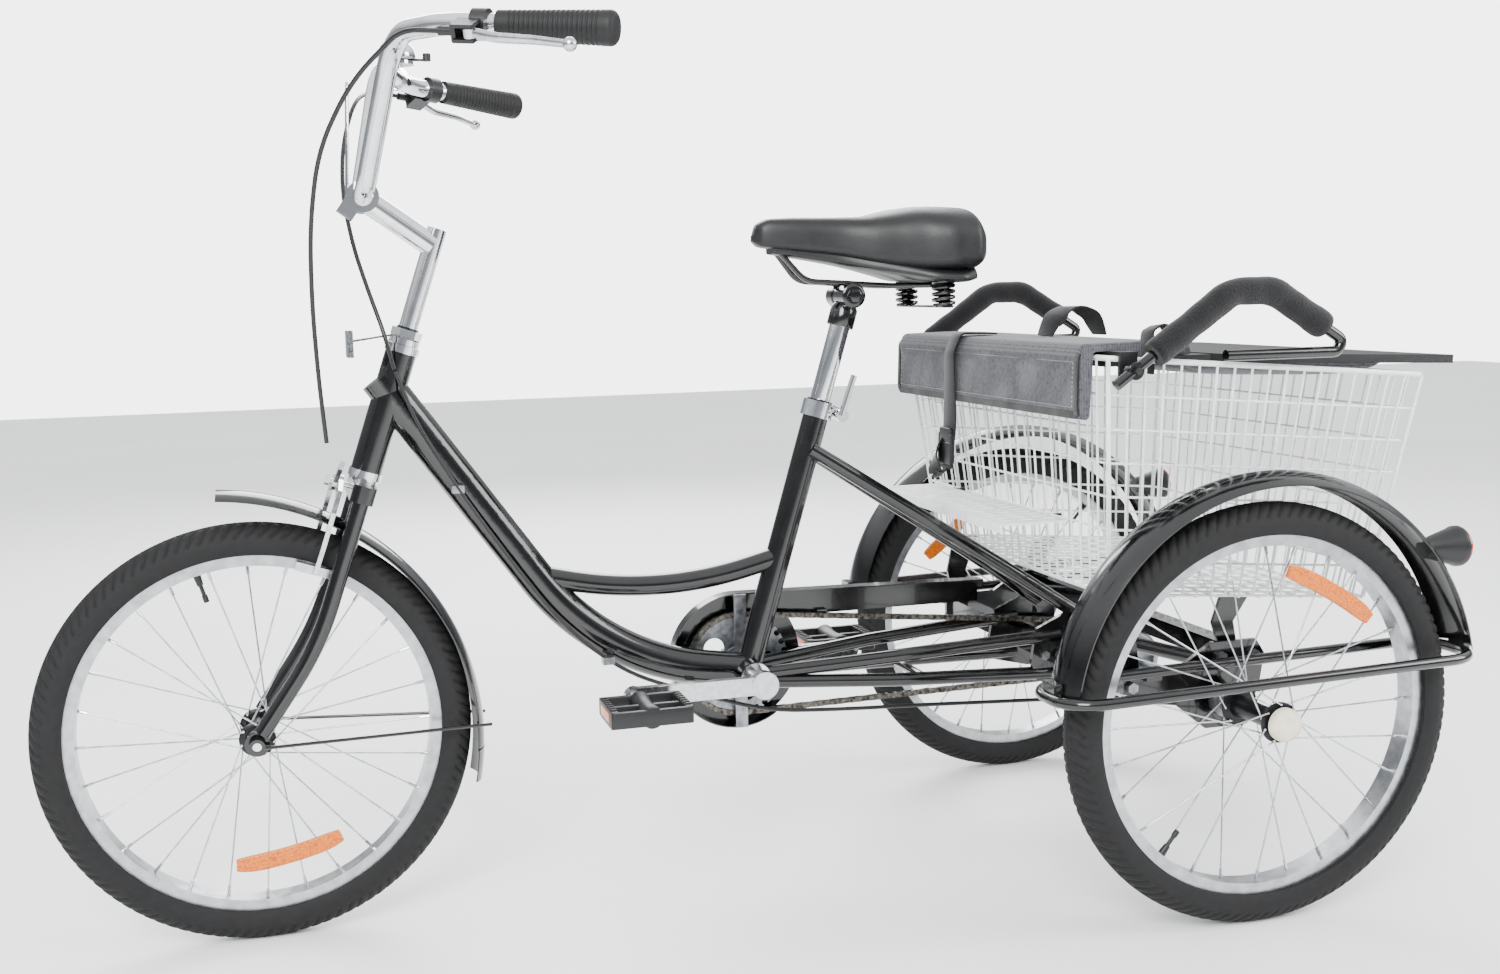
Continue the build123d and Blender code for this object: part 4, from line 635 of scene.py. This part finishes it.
def lever_point(a, out, up=0.0):
    """Along the bar, out from it, and along the pivot's axis."""
    return LEVER_AT + GRIP_DIR * a + LEVER_OUT * out + LEVER_AXIS * up


def lever():
    """Boss on the pivot, a blade with an oval section along its bent line, and a ball end."""
    path = along(rounded([lever_point(a, o) for a, o in ((2, 31), (34, 46), (74, 50), (110, 59.4))], [40, 60]), 3)
    t = np.linspace(0, 1, len(path))
    blade = carried(path, circle(3.6, 24, 1.35), up=LEVER_AXIS, grow=1.15 - 0.35 * t)
    s = np.linspace(-0.98, 0.98, 17) * math.pi / 2
    ball = turned([(7 * math.sin(k), 7 * math.cos(k)) for k in s], lever_point(112, 60), GRIP_DIR, 28)
    boss = turned([(-4.8, 3), (-4.8, 6.4), (-4.2, 7), (4.2, 7), (4.8, 6.4), (4.8, 3)], lever_point(0, 31), LEVER_AXIS,
                  40, loop=True)
    return join(blade, ball, boss)


left = lever()
place("left_lever_blade", "brake_lever_left", left, ALLOY, ["brake_lever_left"])
place("right_lever_blade", "brake_lever_right", mirrored(left), ALLOY, ["brake_lever_right"])

# %% [markdown]
# ## Saddle
# A padded vinyl saddle: narrow nose, dipped waist and a wide rear with a raised back edge. It is a loft of
# rounded sections along its length. Under it are two wire rails and two coil springs on the post's clamp.

# %% Saddle
def saddle():
    """Sections along x: y = w sgn(cos)|cos|**0.6, z between the smooth top and bottom lines, fuller above."""
    x = 226 + 276 * (1 - np.cos(np.linspace(0, math.pi, 90))) / 2
    # the crown line dips at the waist and rises to the rear; the skirt hangs lowest beside the springs
    top = eased(x, [226, 232, 250, 300, 375, 440, 480, 496, 502], [800, 822, 838, 840, 829, 829, 828, 822, 808])
    low = eased(x, [226, 234, 250, 290, 330, 400, 470, 494, 502], [786, 766, 759, 759, 764, 780, 790, 794, 800])
    half = eased(x, [226, 232, 248, 270, 295, 330, 365, 400, 470, 492, 502],
                 [62, 86, 101, 101, 94, 72, 48, 34, 22, 16, 6])
    t = np.linspace(0, math.tau, 96, endpoint=False)
    c, s = np.cos(t), np.sin(t)
    y = half[:, None] * power(c, 0.6)[None]
    belt = low + (top - low) * 0.4
    above = (top - belt)[:, None] * (np.abs(s) ** 0.72)[None]
    below = (belt - low)[:, None] * (np.abs(s) ** 0.42)[None]
    z = belt[:, None] + np.where(s[None] > 0, above, -below)
    reach = np.clip((x - 250) / 40, 0, 1)[:, None], np.clip((440 - x) / 60, 0, 1)[:, None]
    z = z - np.where(s[None] > 0, 3.5 * np.exp(-((y / 9.0) ** 2)) * reach[0] * reach[1], 0)
    return grid(np.stack([np.broadcast_to(x[:, None], y.shape), y, z], -1), False, True, caps=True)


seat = place("saddle_cover", "saddle", saddle(), VINYL, ["saddle"], sharp=80)


def post_parts():
    """The plated post, and apart from it the black clamp, rails and nuts."""
    up, foot, clamp_at = unit((-0.2863, 0, 0.9581)), np.array((CRANK_X, 0, CRANK_Z)), (382.1, 0, 732.9)
    post = turned([(242.9, 12.4), (243.5, 12.7), (474, 12.7), (474.8, 12.0)], foot, up, 48)
    collar = [(446.8, 12.8), (446.8, 16), (448, 16.7), (470, 16.7), (474.6, 14), (474.6, 12.8)]
    collar = turned(collar, foot, up, 48, True)
    barrel = [(-32, 9), (-32, 13), (-30.5, 15), (-12, 15), (-11, 13.6), (11, 13.6), (12, 15), (30.5, 15), (32, 13),
              (32, 9)]
    clamp = turned(barrel, clamp_at, sides=40)
    nut = [(32, 8), (32.5, 8.4), (38, 8.4), (38.5, 7)]
    nuts = [turned([(s * a, r) for a, r in nut], clamp_at, sides=6) for s in (1, -1)]
    rails = []
    for s in (1, -1):
        line = [(470, s * 8, 788), (440, s * 16, 752), (330, s * 22, 744), (262, s * 46, 744), (252, s * 60, 754)]
        rails.append(carried(along(rounded(line, [30, 90, 60, 8]), 3), circle(3.5, 14)))
    return post, join(collar, clamp, *nuts, *rails)


post, clamp_and_rails = post_parts()
place("seat_post", "saddle", post, CHROME, ["seatpost"])
place("saddle_clamp_and_rails", "saddle", clamp_and_rails, ENAMEL)


def coil(centre, radius, wire, turns, height):
    """Helix: centre + (radius cos a, radius sin a, height a / 2 pi turns), with a round wire section."""
    a = np.linspace(0, math.tau * turns, int(turns * 30))
    path = np.stack([radius * np.cos(a), radius * np.sin(a), height * a / a[-1]], 1) + np.array(centre)
    return carried(path, circle(wire, 8), up=(0, 0, 1))


springs = [coil((276, s * 58, 719), 12.4, 2.4, 5, 35) for s in (1, -1)]
bridge = carried(np.linspace((276, -72, 717.6), (276, 72, 717.6), 30), rounded_rectangle(7, 1.4, 1), up=(0, 0, 1))


def pan():
    """Black base plate under the pad: the pad's plan shrunk a little, 5 mm deep, with a turned-down rim."""
    x = np.linspace(240, 480, 60)
    half = eased(x, [240, 262, 290, 330, 365, 400, 480], [78, 90, 86, 62, 40, 27, 14])
    low = eased(x, [240, 250, 290, 330, 400, 480], [752, 750, 752, 760, 775, 789])
    t = np.linspace(0, math.tau, 40, endpoint=False)
    y = half[:, None] * power(np.cos(t), 0.5)[None]
    z = low[:, None] + (np.where(np.sin(t) > 0, 20.0, 4.0) * np.sin(t))[None]
    return grid(np.stack([np.broadcast_to(x[:, None], y.shape), y, z], -1), False, True, caps=True)


place("saddle_pan", "saddle", pan(), MOULDED, sharp=60)
place("saddle_springs", "saddle", join(*springs, bridge), ENAMEL)

# %% [markdown]
# ## Basket
# The basket is welded from 3 mm wire: upright wires outside, level wires inside, and a thicker wire round the
# mouth, all dipped in white plastic. It leans 4.5 degrees. Wires are rods between evenly spaced points on the
# edges of each wall, so a whole wall is two arrays.

# %% Basket
LEAN = math.radians(4.5)
BASKET = np.array((-23.0, 0.0, 366.0))


def from_basket(points):
    """Basket coordinates (forward, left, up) turned by the lean and moved to the carriage."""
    u, v, w = np.moveaxis(np.asarray(points, float), -1, 0)
    c, s = math.cos(LEAN), math.sin(LEAN)
    return np.stack([u * c - w * s, v, u * s + w * c], -1) + BASKET


def wall(a, b, c, d, across, up, inward):
    """Crossed wires between edges a-b (foot) and d-c (mouth); level wires sit one wire further in."""
    a, b, c, d = [np.array(p, float) for p in (a, b, c, d)]
    s, t = np.linspace(0, 1, across + 1)[:, None], np.linspace(0, 1, up + 1)[:, None]
    shift = np.array(inward, float)
    uprights = (a + (b - a) * s, d + (c - d) * s)
    levels = (a + (d - a) * t + shift * 2.4, b + (c - b) * t + shift * 2.4)
    return [rods(from_basket(p), from_basket(q), 1.45, 8) for p, q in (uprights, levels)]


parts = []
for s, lip in ((1, 226), (-1, -190)):
    parts += wall((s * 175, 241, 3), (s * 175, -241, 3), (lip, -284, 275), (lip, 284, 275), 24, 7, (-s, 0, 0))
for s in (1, -1):
    foot, lip = s * 241.5, s * 285
    parts += wall((-172, foot, 3), (172, foot, 3), (224, lip, 275), (-188, lip, 275), 18, 7, (0, -s, 0))
mouth = [(18, -286, 277), (226, -286, 277), (226, 286, 277), (-190, 286, 277), (-190, -286, 277), (18, -286, 277)]
rim = rounded(mouth, [9, 9, 9, 9], 7)[:-1]
basket_up = from_basket((0, 0, 1)) - from_basket((0, 0, 0))
parts.append(carried(from_basket(rim), circle(3.0, 12), up=basket_up, closed=True))
place("basket_wires", "frame", join(*parts), COATED, ["basket_walls"])


def in_basket(u, v, w):
    """Points of the basket, each coordinate a number or an array."""
    return from_basket(np.stack(np.broadcast_arrays(u, v, w), 1))


length, width = np.linspace(-173, 173, 13), np.linspace(-241, 241, 19)
runs = rods(in_basket(length, -241, 1.5), in_basket(length, 241, 1.5), 1.5, 8)
cross = rods(in_basket(-173, width, 3.0), in_basket(173, width, 3.0), 1.4, 8)
place("basket_floor_wires", "frame", join(runs, cross), COATED, ["basket_floor"])

# %% [markdown]
# ## Passenger seat
# The front of the seat is a thin padded cover that folds over the board and hangs down the basket's front like a
# flap. Its edges are bound with ribbed tape and sewn with a pale thread about 12 mm in from the edge. The cover's
# section is carried across the seat, and a slow ripple keeps the cloth from looking like sheet metal.

# %% Seat cover and cushion
def ripple(y, z):
    """Two slow crossing waves in mm, 0.9 sin(y / 31 + z / 40) + 0.7 sin(y / 13 - z / 23)."""
    return 0.9 * np.sin(y / 31 + z / 40) + 0.7 * np.sin(y / 13 - z / 23)


COVER = [(158, 659.4), (158, 667.6), (186, 667), (190, 592), (197, 589.4), (203.4, 593), (205.4, 604), (204.6, 660),
         (197, 675.4), (120, 676.4), (66, 674), (62.2, 660), (157, 659.4)]
outline = along(rounded([(x, 0, z) for x, z in COVER], [2, 4, 3, 3, 3, 4, 14, 8, 30, 5, 1], 7), 3.0)
y = np.linspace(-263, 263, 150)
edge = np.clip((263 - np.abs(y)) / 6, 0, 1) ** 0.5
flat = outline[None].repeat(len(y), 0)
hanging = np.clip((664 - outline[:, 2]) / 20, 0, 1) * (outline[:, 0] > 198)
wave = ripple(y[:, None], outline[None, :, 2])
flat[..., 0] -= hanging * (1.2 + 0.45 * wave) + (1 - edge)[:, None] * 2.0 * (outline[:, 0] > 195)
flat[..., 2] -= (1 - edge)[:, None] * np.clip((outline[:, 2] - 664) / 10, 0, 1) * 3.0
flat[..., 1] = y[:, None]
pad = place("seat_cover", "frame", grid(flat, False, True, caps=True), HEATHER, ["seat_pad"], sharp=70)


def face_line(y_at, z_at):
    """Points on the flap's outer face, a little proud of it."""
    y_at, z_at = np.broadcast_arrays(np.asarray(y_at, float), np.asarray(z_at, float))
    x = np.interp(z_at, [589, 593, 604, 660, 668], [199, 203.4, 205.4, 204.6, 201]) - (1.2 + 0.45 * ripple(y_at, z_at))
    return np.stack([x, y_at, z_at], -1)


tape_path = face_line([*np.full(20, -259), *np.linspace(-259, 259, 90), *np.full(20, 259)],
                      [*np.linspace(664, 597, 20), *np.full(90, 595.5), *np.linspace(597, 664, 20)])
tape = carried(along(tape_path, 6), rounded_rectangle(4.6, 1.1, 0.8), up=(1, 0, 0))
place("seat_cover_binding", "frame", tape, BINDING)


def stitches(y_at, z_at):
    """Short thread lengths between every other pair of points of a line on the flap."""
    line = along(face_line(y_at, z_at), 2.6)
    return rods(line[0:-1:2] + (0.4, 0, 0), line[1::2][: len(line[0:-1:2])] + (0.4, 0, 0), 0.45, 6)


rows = [stitches(np.linspace(-250, 250, 60), z) for z in (604.0, 655.0)]
rows += [stitches(y_at, np.linspace(655, 604, 20)) for y_at in (-250.0, 250.0)]
place("seat_cover_stitching", "frame", join(*rows), THREAD)


def cushion():
    """Pillow: height = h (1 - |a|**6)(1 - |b|**6) to a power, so it is full in the middle and thin at its seam."""
    a, b = np.meshgrid(np.linspace(-1, 1, 70), np.linspace(-1, 1, 120), indexing="ij")
    full = (np.clip(1 - np.abs(a) ** 6, 0, 1) * np.clip(1 - np.abs(b) ** 6, 0, 1)) ** 0.4
    crease = 1 - 0.35 * np.exp(-((b * 235 / 9) ** 2)) - 0.3 * np.exp(-(((np.abs(b) - 0.66) * 235 / 9) ** 2))
    x = -105.5 + 110 * a * (1 - 0.012 * b * b)
    top = 649 + 0.0349 * (x - 30)
    under = top - 1.0 - 18.5 * full * crease
    upper = np.stack([x, 234 * b, top - 0.6], -1)
    lower = np.stack([x, 234 * b, under], -1)
    return grid(np.concatenate([upper, lower[:, ::-1]], 1), False, True, caps=True)


pillow = place("backrest_cushion", "backrest", cushion(), HEATHER, ["backrest_pad"], sharp=70)

# %% [markdown]
# ## Armrests
# Each armrest is one bent black tube: it rises from its pivot at the front, bends over, and comes back as a
# plain bar. The upper part is sleeved in soft foam, cut square at both ends.

# %% Armrests
ARM_Y = 306.0
ARM = [(x, ARM_Y, z) for x, z in ((182, 630.5), (40, 730), (-12, 730), (-106, 672), (-98, 659), (46, 659))]


def sleeve():
    """Foam tube: ring section carried from 56 mm up the first run to 80 mm past the second bend, slightly uneven."""
    p = [np.array(q, float) for q in ARM]
    line = [p[0] + unit(p[1] - p[0]) * 56, p[1], p[2], p[2] + unit(p[3] - p[2]) * 80]
    path = along(rounded(line, [45, 45], 16), 2.0)
    t = np.linspace(0, 1, len(path))
    ends = np.clip(np.minimum(t, 1 - t) * len(path) / 3, 0, 1)
    swell = 15.6 + 0.35 * np.sin(t * 21) + 0.25 * np.sin(t * 47 + 1)
    return carried(path, circle(1.0, 40), up=(0, 1, 0), grow=swell * (0.9 + 0.1 * ends ** 0.5))


tube = carried(along(rounded(ARM, [45, 45, 8, 7], 12), 3), circle(6.5, 20), up=(0, 1, 0))
boss = turned([(-6, 4.1), (-6, 9), (-5, 10), (5, 10), (6, 9), (6, 4.1)], (160, ARM_Y, 646), sides=40, loop=True)
for side, flip in (("left", lambda s: s), ("right", mirrored)):
    name = f"armrest_{side}"
    place(f"{name}_tube", name, flip(join(tube, boss)), ENAMEL, [name])
    foam = place(f"{name}_foam", name, flip(sleeve()), FOAM, sharp=60)

# %% [markdown]
# ## Belts
# Black webbing: a 34 mm belt comes over the flap and hangs down to its buckle and loose tail, another stands in a
# loop over the seat, and a narrow one is at the side. Each is a strip carried along its line.

# %% Belts
def belt(name, points, radii, y_at, twist, rests, width=34.0):
    """A strip lying across y: its section's wide side is along the y axis."""
    path = along(rounded([(x, y_at, z) for x, z in points], radii, 10), 3)
    t = np.linspace(0, 1, len(path))
    side = np.array((0.0, 1.0, 0.0))
    tangent = unit(np.gradient(path, axis=0))
    normal = unit(np.cross(tangent, side))
    lean = (twist * np.sin(t * 6))[:, None]
    across = side * np.cos(lean) + normal * np.sin(lean)
    through = normal * np.cos(lean) - side * np.sin(lean)
    section = rounded_rectangle(width / 2, 1.1, 0.9, 3)
    points = path[:, None] + across[:, None] * section[None, :, :1] + through[:, None] * section[None, :, 1:]
    piece = place(name, "frame", grid(points, False, True, caps=True), WEBBING, sharp=60)
    return piece


front_belt = belt("front_belt", [(150, 678.5), (200, 679.5), (210.5, 655), (210, 560), (216, 502)], [9, 12, 200, 60],
                  y_at=-70, twist=0.06, rests="seat_cover")
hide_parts("seat_belts")
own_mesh(front_belt)
belt("loop_belt", [(64, 677.6), (76, 702), (104, 716), (128, 702), (140, 678)], [20, 24, 24], y_at=60, twist=0.25,
     rests="seat_cover")


def buckle(centre, turn):
    """Side-release buckle: a rounded body, a narrower tongue and two side arms."""
    body = block(centre, (40, 30, 7), 6, 2, turn)
    c = np.array(centre, float)
    tongue = block(c + np.asarray(turn) @ (0, 24, 0), (34, 20, 5), 4, 1.6, turn)
    arms = [block(c + np.asarray(turn) @ (s * 17.5, 14, 0), (5, 26, 5.6), 2, 1.5, turn) for s in (1, -1)]
    return join(body, tongue, *arms)


# the buckle faces forward: its width along y, its length along z, its thickness along x
facing = np.array(((0, 0, 1), (1, 0, 0), (0, 1, 0)), float)
place("belt_buckle", "frame", buckle((215.5, -70, 522), facing), MOULDED)
tail = belt("belt_tail", [(212, 548), (222, 520), (224, 496), (214, 484), (208, 500)], [14, 12, 8, 6],
            width=26, y_at=-88, twist=0.5, rests="belt_buckle")
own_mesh(tail)
belt("side_belt", [(96, 686), (99, 692), (112, 694), (124, 688), (124, 640)], [3, 6, 6, 4], width=28, y_at=272,
     twist=0.1, rests="seat_cover")

# %% [markdown]
# ## Tail lamps
# A black cone on the back of each rear mudguard is closed by a red lens with stepped rings.

# %% Tail lamps
housings, lenses = [], []
for s in (1, -1):
    at = (-214.0, s * HALF_TRACK, 426.0)
    cone = [(0, 9), (0.5, 12), (8, 13.2), (40, 22.4), (43, 24), (48, 24), (48, 8)]
    housings.append(turned(cone, at, (-1, 0, 0), 56))
    steps = [(47, 23.4), (49.5, 23.4), (50, 22.2), (52, 21.6), (52.3, 19.2), (54, 18.6), (54.2, 14), (55.6, 12.6),
             (56.9, 4)]
    lenses.append(turned(steps, at, (-1, 0, 0), 56))
place("lamp_housings", "frame", join(*housings), MOULDED, ["tail_lamps"])
place("lamp_lenses", "frame", join(*lenses), RED)

# %% [markdown]
# ## Pedals
# A black moulded platform pedal is an open cage: a barrel round the spindle, two toothed treads before and behind,
# two end plates, and an amber reflector in each tread.

# %% Pedals
PEDAL_Y = 132.0


def pedal_cage(x):
    """Cage about its spindle: barrel, treads with teeth every 9 mm, end plates and ribs."""
    c = np.array((x, PEDAL_Y, CRANK_Z))
    barrel = turned([(-37, 7), (-37, 12), (-34, 13.5), (-8, 11), (8, 11), (34, 13.5), (37, 12), (37, 7)], c, sides=36)
    treads = [block(c + (s * 43.5, 0, 0), (9, 74, 20), 2.5, 1.2) for s in (1, -1)]
    ends = [block(c + (0, s * 35, 0), (94, 7, 19), 3, 1.2) for s in (1, -1)]
    ribs = [block(c + (s * 25, 0, 0), (34, 6, 14), 2, 1) for s in (1, -1)]
    teeth_at = [c + (s * 43.5, k * 9.0, 0) for s in (1, -1) for k in range(-3, 4)]
    teeth = copies(block((0, 0, 0), (8, 3.6, 23.6), 1.2, 1.0), teeth_at)
    return join(barrel, *treads, *ends, *ribs, teeth)


def pedal_spindle(x):
    """Turned spindle with a shoulder where it enters the cage."""
    profile = [(66, 4.5), (67, 5.9), (84, 5.9), (86, 7.6), (94, 7.6), (95, 5.6), (99, 5.6)]
    return turned(profile, (x, 0, CRANK_Z), sides=32)


def pedal_lamps(x):
    """Amber strips let into the front and rear treads."""
    return join(*[block((x + s * 47.6, PEDAL_Y, CRANK_Z), (1.8, 44, 11), 0.8, 0.4) for s in (1, -1)])


for side, x, flip in (("left", CRANK_X + CRANK, lambda k: k), ("right", CRANK_X - CRANK, mirrored)):
    body = f"pedal_{side}"
    place(f"{body}_cage", body, flip(pedal_cage(x)), MOULDED, [body])
    place(f"{body}_spindle", body, flip(pedal_spindle(x)), ZINC)
    place(f"{body}_reflectors", body, flip(pedal_lamps(x)), AMBER)

# %% [markdown]
# ## Chain
# A bush roller chain of half-inch pitch: narrow and wide links take turns, each with a roller. One pair of side
# plates is worked out and then repeated round the loop as an array of turns and shifts.

# %% Chain
RING, COG = np.array((CRANK_X, CRANK_Z)), np.array((0.0, AXLE_Z))
R_RING, R_COG, CHAIN_Y = 64.78, 36.57, -45.0
PITCH, PLATE_R, WAIST = 12.7, 4.1, 0.9
lean = math.atan2(RING[1] - COG[1], RING[0] - COG[0])
slope = math.asin((R_RING - R_COG) / float(np.linalg.norm(RING - COG)))


def arc(centre, radius, start, stop):
    """Points of an arc every degree or so."""
    t = np.linspace(start, stop, 120)
    return centre + radius * np.stack([np.cos(t), np.sin(t)], 1)


top, low = lean + math.pi / 2 + slope, lean - math.pi / 2 - slope
loop = np.concatenate([arc(RING, R_RING, low, top), arc(COG, R_COG, top, low + math.tau)])
loop = along(np.concatenate([loop, loop[:1]]), 0.5)
count = 2 * round(np.linalg.norm(np.diff(loop, axis=0), axis=1).sum() / PITCH / 2)
pins = loop[np.linspace(0, len(loop) - 1, count + 1).astype(int)]
start, stop = pins[:-1], pins[1:]
way = unit(stop - start)


def link(half_y, waist):
    """Two side plates shaped like a figure of eight, 1.1 mm thick."""
    t = np.linspace(0, math.tau, 20, endpoint=False)
    r = PLATE_R - waist * np.abs(np.sin(t)) ** 6
    edge = np.stack([PITCH / 2 + (PITCH / 2 + PLATE_R) * np.cos(t), r * power(np.sin(t), 0.6)], 1)
    plates = []
    for s in (1, -1):
        ring = [np.column_stack([edge[:, 0], np.full(20, s * half_y + d), edge[:, 1]]) for d in (-0.55, 0.55)]
        plates.append(grid(np.array(ring), False, True, caps=True))
    return join(*plates)


turns = np.zeros((count, 3, 3))
turns[:, 0, 0], turns[:, 2, 0], turns[:, 1, 1] = way[:, 0], way[:, 1], 1
turns[:, 0, 2], turns[:, 2, 2] = -way[:, 1], way[:, 0]
shifts = np.stack([start[:, 0], np.full(count, CHAIN_Y), start[:, 1]], 1)
narrow = copies(link(1.9, WAIST), shifts[::2], turns[::2])
wide = copies(link(3.2, WAIST), shifts[1::2], turns[1::2])
rollers = rods(shifts - (0, 3.9, 0), shifts + (0, 3.9, 0), 1.8, 10)
bushes = rods(shifts - (0, 1.2, 0), shifts + (0, 1.2, 0), 3.8, 10)
place("roller_chain", "frame", join(narrow, wide, rollers, bushes), CHAIN_STEEL, ["chain"])
print("links:", count)


# %% [markdown]
# ## Floor and light
# A plain pale floor and three large soft lamps, as in a photographer's studio: one from the front left, a weaker
# one from the right, and a large one behind for the rims of the black tubes. The even grey-white surroundings do
# the rest, because gloss paint and chrome look like whatever is round them.

# %% Studio
floor_mesh = bpy.data.meshes.new("floor")
floor_mesh.from_pydata([(-9, -9, 0), (9, -9, 0), (9, 9, 0), (-9, 9, 0)], [], [(0, 1, 2, 3)])
floor = bpy.data.objects.new("floor", floor_mesh)
bpy.context.scene.collection.objects.link(floor)
FLOOR, s = material("pale_floor", "#fbfbfb", 0.7)
mottle(FLOOR, s, 900, "#f9f9f9", "#fdfdfd", detail=1)
floor_mesh.materials.append(FLOOR)

world = bpy.data.worlds.new("studio")
world.use_nodes = True
backdrop = world.node_tree.nodes["Background"].inputs
backdrop["Strength"].default_value = 1.9
# gloss and chrome see a room with a darker band near the horizon; the camera sees an even pale backdrop
height = add(world, "SeparateXYZ", {0: add(world, "TexCoord").outputs["Generated"]}).outputs["Z"]
room = add(world, "ValToRGB", {0: height})
stops = room.color_ramp.elements
stops[0].position, stops[0].color = 0.0, linear("#8c8f92")
stops[1].position, stops[1].color = 0.55, linear("#f7f9fb")
stops.new(0.18).color = linear("#6e7276")
BACKDROP = (2.6, 2.62, 2.64, 1.0)  # above white
from_camera = add(world, "LightPath").outputs["Is Camera Ray"]
seen = add(world, "MixRGB", {0: from_camera, 1: room.outputs[0], 2: BACKDROP})
wire_up(world, seen.outputs[0], backdrop["Color"])
bpy.context.scene.world = world


def lamp(name, place_at, target, size, watts):
    """A square soft lamp that faces a point."""
    light = bpy.data.lights.new(name, "AREA")
    light.shape, light.size, light.energy = "SQUARE", size, watts
    made = bpy.data.objects.new(name, light)
    away = np.array(place_at, float) - np.array(target, float)
    flat = math.hypot(away[0], away[1])
    made.location = place_at
    made.rotation_euler = (math.atan2(flat, away[2]), 0, math.atan2(away[1], away[0]) + math.pi / 2)
    bpy.context.scene.collection.objects.link(made)


lamp("key", (1.6, 3.0, 2.6), (0, 0, 0.5), 1.8, 230)
lamp("fill", (-2.8, 1.6, 1.8), (0, 0, 0.5), 1.6, 80)
lamp("rear", (-0.5, -2.8, 2.4), (0, 0, 0.5), 2.2, 150)
print("lamps:", len(bpy.data.lights))
